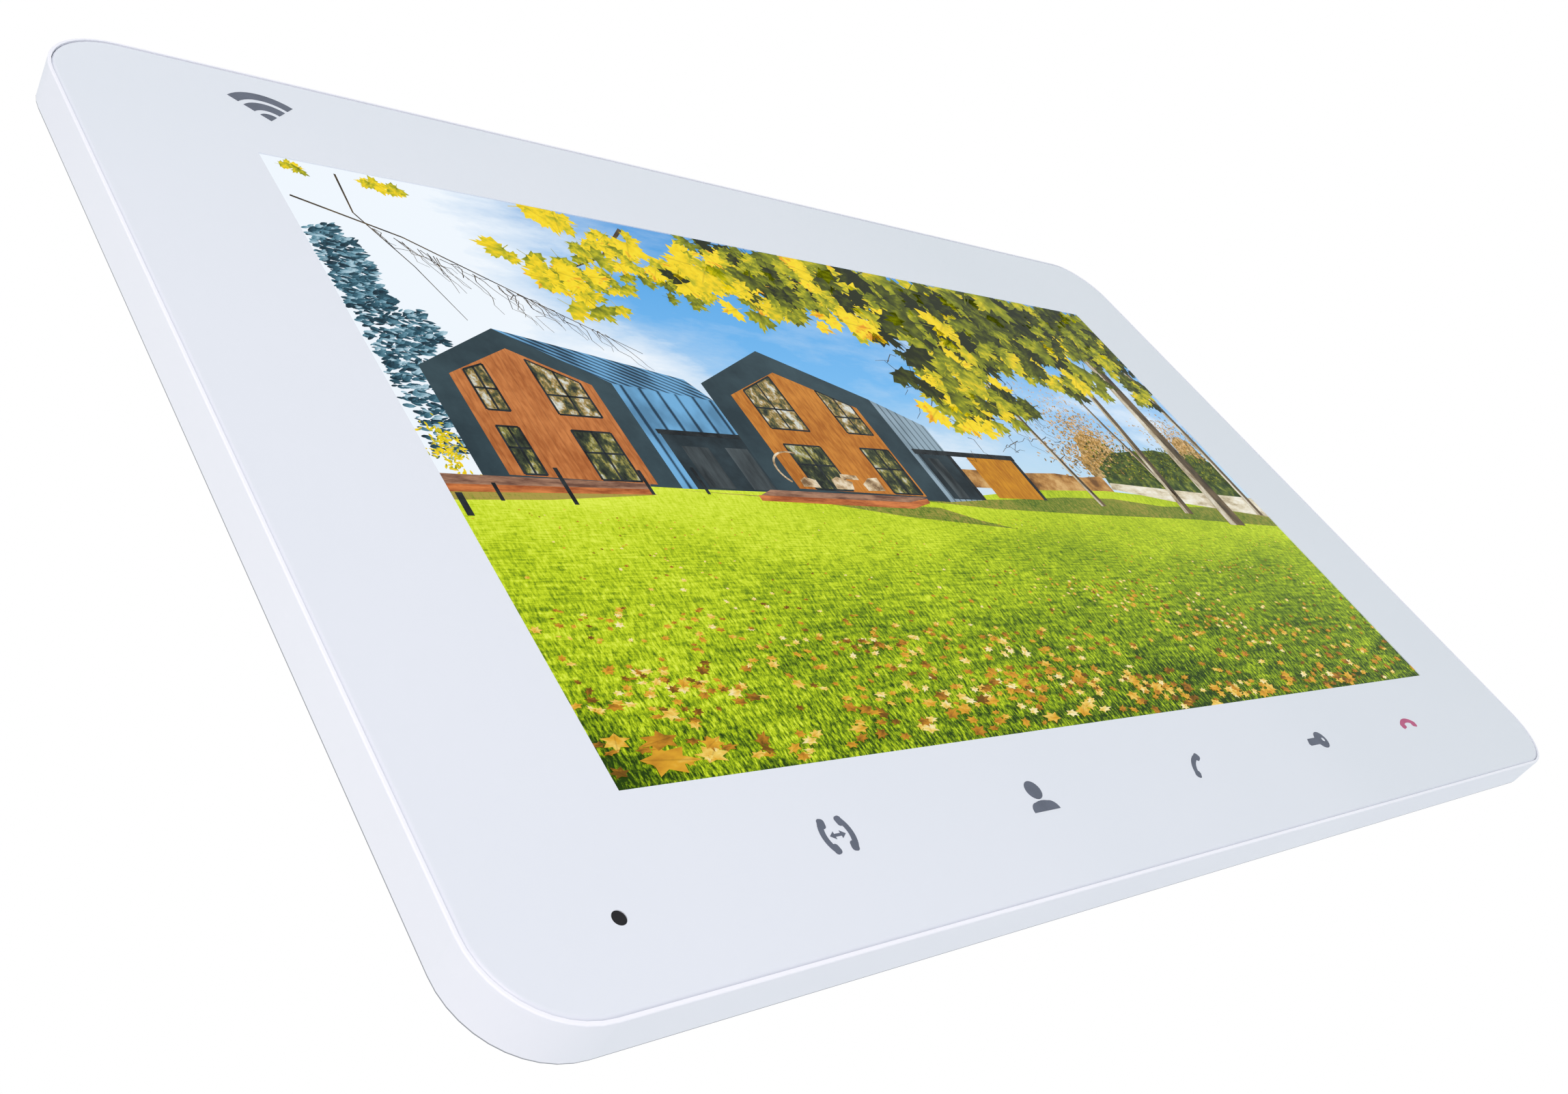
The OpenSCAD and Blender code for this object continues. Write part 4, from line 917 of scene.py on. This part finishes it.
def limb(bm, points, layer, wide, narrow):
    # a trunk, branch or twig: a strip pushed along its points that thins out
    strip = []
    for i, (across, up) in enumerate(points):
        before, after = points[max(i - 1, 0)], points[min(i + 1, len(points) - 1)]
        along = Vector(((after[0] - before[0]) * pictureWidth,
                        (after[1] - before[1]) * pictureHeight)).normalized()
        half = (wide + (narrow - wide) * i / (len(points) - 1)) / 2 * millimetre
        offset = Vector((-along.y * half, 0, along.x * half))
        strip.append((at(across, up, layer) + offset, at(across, up, layer) - offset))
    edge = bm.edges.new([bm.verts.new(place) for place in strip[0]])
    faces = []
    for sides in strip[1:]:
        pushed = bmesh.ops.extrude_edge_only(bm, edges=[edge])["geom"]
        fresh = [part for part in pushed if isinstance(part, bmesh.types.BMVert)]
        faces += [part for part in pushed if isinstance(part, bmesh.types.BMFace)]
        edge = next(part for part in pushed if isinstance(part, bmesh.types.BMEdge)
                    and all(vert in fresh for vert in part.verts))
        ends = list(edge.verts)
        straight = (ends[0].co - sides[0]).length + (ends[1].co - sides[1]).length
        crossed = (ends[0].co - sides[1]).length + (ends[1].co - sides[0]).length
        for vert, place in zip(ends, sides if straight <= crossed else sides[::-1]):
            vert.co = place
    thicken(bm, faces, picture["thin"] * millimetre)


def wander(start, end, bends, sway):
    # points from start to end that stray a little
    out = []
    for i in range(bends + 1):
        share = i / bends
        stray = sway * math.sin(math.pi * share)
        out.append((start[0] + (end[0] - start[0]) * share + draw.uniform(-stray, stray) * 0.5,
                    start[1] + (end[1] - start[1]) * share + draw.uniform(-stray, stray)))
    return out


# each trunk: its points from the ground up, and its width at both ends in millimetres
trunks = [([(0.915, 0.372), (0.919, 0.5), (0.922, 0.62), (0.925, 0.78), (0.915, 0.985)], 6.8, 3.4),
          ([(0.838, 0.398), (0.846, 0.5), (0.855, 0.64), (0.862, 0.8), (0.868, 0.985)], 3.4, 1.4),
          ([(0.842, 0.44), (0.836, 0.53), (0.828, 0.62), (0.822, 0.72)], 1.6, 0.8),
          ([(0.694, 0.408), (0.688, 0.5), (0.682, 0.6), (0.678, 0.74)], 2.0, 0.9),
          ([(0.985, 0.4), (0.988, 0.6), (0.984, 0.8), (0.988, 0.975)], 2.6, 1.6)]
litSide = {"aside": 0.27, "share": 0.42}   # its middle and its width, as shares of the trunk's width
trunkMesh, litMesh = bmesh.new(), bmesh.new()
for points, wide, narrow in trunks:
    limb(trunkMesh, points, layers["trunks"], wide, narrow)
    lit = [(across - wide * litSide["aside"] * millimetre / pictureWidth, up) for across, up in points]
    limb(litMesh, lit, layers["litTrunkSides"], wide * litSide["share"], narrow * litSide["share"])
finishPiece("trunks", trunkMesh, "bark")
finishPiece("litTrunkSides", litMesh, "litBark")

# a hanging seat on its hoop and low seats, on the right deck
hoop = {"middle": (0.317, 0.456), "reach": (0.024, 0.036), "from": 70, "to": 222, "steps": 14,
        "wide": (0.35, 0.5)}
hoopPoints = []
for i in range(hoop["steps"] + 1):
    turn = math.radians(hoop["from"] + (hoop["to"] - hoop["from"]) * i / hoop["steps"])
    hoopPoints.append((hoop["middle"][0] + hoop["reach"][0] * math.cos(turn),
                       hoop["middle"][1] + hoop["reach"][1] * math.sin(turn)))
seatMesh = bmesh.new()
limb(seatMesh, hoopPoints, layers["seatHoop"], *hoop["wide"])
finishPiece("seatHoop", seatMesh, "seat")
shapes("deckSeats", [[(0.308, 0.424), (0.326, 0.423), (0.326, 0.438), (0.316, 0.443), (0.309, 0.436)],
                     [(0.343, 0.422), (0.362, 0.422), (0.366, 0.437), (0.352, 0.447), (0.344, 0.44)],
                     [(0.378, 0.421), (0.398, 0.422), (0.399, 0.449), (0.388, 0.447), (0.377, 0.434)],
                     [(0.356, 0.443), (0.376, 0.442), (0.376, 0.451), (0.358, 0.453)]], "seat")

# layers above that of the piece, and widths in millimetres
twigs = {"second": 0.5, "fine": 0.6, "spread": 0.4, "boughs": 1.4, "bends": 5, "tip": 0.08,
         "left": 34, "right": 60}
twigMesh = bmesh.new()


def fineTwig(start, aside, down, sway, wide):
    end = (start[0] + draw.uniform(*aside), start[1] - draw.uniform(*down))
    points = wander(start, end, twigs["bends"], sway)
    limb(twigMesh, points, twigLayer + twigs["fine"] + draw.random() * twigs["spread"], wide, twigs["tip"])


twigLayer = layers["twigs"]
limb(twigMesh, [(0.006, 0.915), (0.08, 0.862), (0.16, 0.765), (0.238, 0.675)], twigLayer, 0.5, 0.15)
limb(twigMesh, [(0.054, 0.985), (0.05, 0.9), (0.075, 0.8), (0.092, 0.7)], twigLayer + twigs["second"],
     0.4, 0.12)
for i in range(twigs["left"]):
    along = draw.random()
    fineTwig((0.05 + 0.17 * along, 0.88 - 0.18 * along), (0.0, 0.03), (0.02, 0.08), 0.012, 0.2)
for i in range(twigs["right"]):
    fineTwig((draw.uniform(0.56, 0.72), draw.uniform(0.5, 0.8)), (0.03, -0.05), (0.0, 0.07), 0.014, 0.22)
boughs = [[(0.985, 0.9), (0.86, 0.94), (0.74, 0.9), (0.66, 0.82), (0.6, 0.72)],
          [(0.8, 0.985), (0.66, 0.93), (0.54, 0.9)],
          [(0.5, 0.985), (0.43, 0.93), (0.36, 0.9)],
          [(0.315, 0.985), (0.27, 0.9), (0.22, 0.85)],
          [(0.62, 0.8), (0.6, 0.68), (0.575, 0.6)]]
for bough in boughs:
    limb(twigMesh, bough, twigLayer + twigs["boughs"], 0.9, 0.3)
finishPiece("twigs", twigMesh, "twig")

# sprays of maple leaves along the top: middle, spread, number, size and tones
sprays = [((0.65, 0.85), (0.036, 0.04), 22, (6.0, 10.0), (-0.25, 0.1)),
          ((0.74, 0.89), (0.055, 0.045), 34, (6.0, 11.0), (-0.25, 0.15)),
          ((0.86, 0.93), (0.06, 0.04), 36, (5.0, 9.0), (-0.25, 0.15)),
          ((0.45, 0.905), (0.05, 0.03), 22, (4.0, 7.0), (-0.25, 0.15)),
          ((0.545, 0.915), (0.03, 0.035), 18, (4.0, 7.5), (-0.25, 0.15)),
          ((0.61, 0.69), (0.026, 0.04), 14, (4.0, 8.0), (-0.25, 0.15)),
          ((0.217, 0.83), (0.019, 0.03), 34, (3.0, 6.5), (0.42, 0.86)),
          ((0.282, 0.915), (0.02, 0.03), 24, (3.0, 6.0), (0.42, 0.86)),
          ((0.24, 0.99), (0.02, 0.01), 8, (4.0, 6.5), (0.62, 0.86)),
          ((0.335, 0.85), (0.015, 0.018), 12, (3.0, 5.5), (0.35, 0.7)),
          ((0.385, 0.895), (0.036, 0.032), 52, (4.0, 8.0), (0.45, 0.95)),
          ((0.455, 0.93), (0.026, 0.034), 44, (4.0, 8.5), (0.08, 0.55)),
          ((0.44, 0.86), (0.02, 0.018), 14, (4.0, 7.0), (0.4, 0.95)),
          ((0.538, 0.89), (0.022, 0.038), 44, (4.5, 8.5), (0.45, 1.0)),
          ((0.56, 0.975), (0.05, 0.016), 26, (5.0, 9.0), (0.4, 0.95)),
          ((0.46, 0.98), (0.03, 0.014), 14, (5.0, 9.0), (0.05, 0.55)),
          ((0.8, 0.97), (0.1, 0.018), 44, (7.0, 13.0), (0.0, 0.6)),
          ((0.94, 0.9), (0.04, 0.05), 120, (3.0, 7.0), (0.0, 0.55)),
          ((0.975, 0.85), (0.012, 0.07), 46, (3.0, 6.0), (0.0, 0.65)),
          ((0.86, 0.9), (0.04, 0.045), 46, (5.0, 10.0), (0.05, 0.75)),
          ((0.64, 0.85), (0.03, 0.045), 30, (6.0, 11.0), (0.05, 0.6)),
          ((0.72, 0.9), (0.05, 0.04), 44, (6.0, 11.0), (0.0, 0.68)),
          ((0.79, 0.88), (0.04, 0.045), 34, (6.0, 10.0), (-0.1, 0.5)),
          ((0.7, 0.84), (0.04, 0.03), 20, (6.0, 11.0), (0.2, 0.85)),
          ((0.75, 0.8), (0.03, 0.018), 12, (6.0, 10.0), (0.1, 0.75)),
          ((0.64, 0.725), (0.022, 0.035), 26, (5.0, 10.0), (0.3, 0.85)),
          ((0.598, 0.65), (0.014, 0.038), 24, (4.0, 9.0), (0.45, 0.95)),
          ((0.69, 0.65), (0.013, 0.018), 10, (5.0, 9.0), (0.02, 0.35)),
          ((0.66, 0.66), (0.018, 0.02), 12, (4.0, 7.0), (0.2, 0.7)),
          ((0.835, 0.76), (0.036, 0.022), 22, (3.5, 7.0), (0.1, 0.75)),
          ((0.015, 0.985), (0.008, 0.003), 4, (1.8, 2.6), (0.5, 0.8)),
          ((0.085, 0.978), (0.012, 0.004), 7, (2.4, 3.6), (0.55, 0.85))]
canopy = []
for middle, spread, count, size, tones in sprays:
    canopy += clump(count, middle, spread, size, tones, turns=(70, 290), narrow=(0.55, 1.0))
scatter("mapleLeaves", mapleLeaf, "maple", canopy)
print("canopy made:", len(canopy))


def makeFloor():
    bm = bmesh.new()
    bmesh.ops.create_grid(bm, x_segments=1, y_segments=1, size=studio["floorSize"] / 2)
    bmesh.ops.translate(bm, verts=bm.verts, vec=(0, 0, cadBox[0].z - studio["floorDrop"]))
    mesh = bpy.data.meshes.new("floor")
    bm.to_mesh(mesh)
    bm.free()
    finish = plastic("floorPaint", paint(236, 237, 239), paint(232, 233, 236), (0.55, 0.7), 60, 0.05,
                     mottle=2)
    mesh.materials.append(finish)
    tree = finish.node_tree
    side = addNode(tree, "ShaderNodeNewGeometry")   # seen from below, the floor isn't there
    above = addMath(tree, "SUBTRACT", 1.0, side.outputs["Backfacing"])
    tree.links.new(above, tree.nodes["Principled BSDF"].inputs["Alpha"])
    floor = bpy.data.objects.new("floor", mesh)
    scene.collection.objects.link(floor)


makeFloor()
print("scene complete")
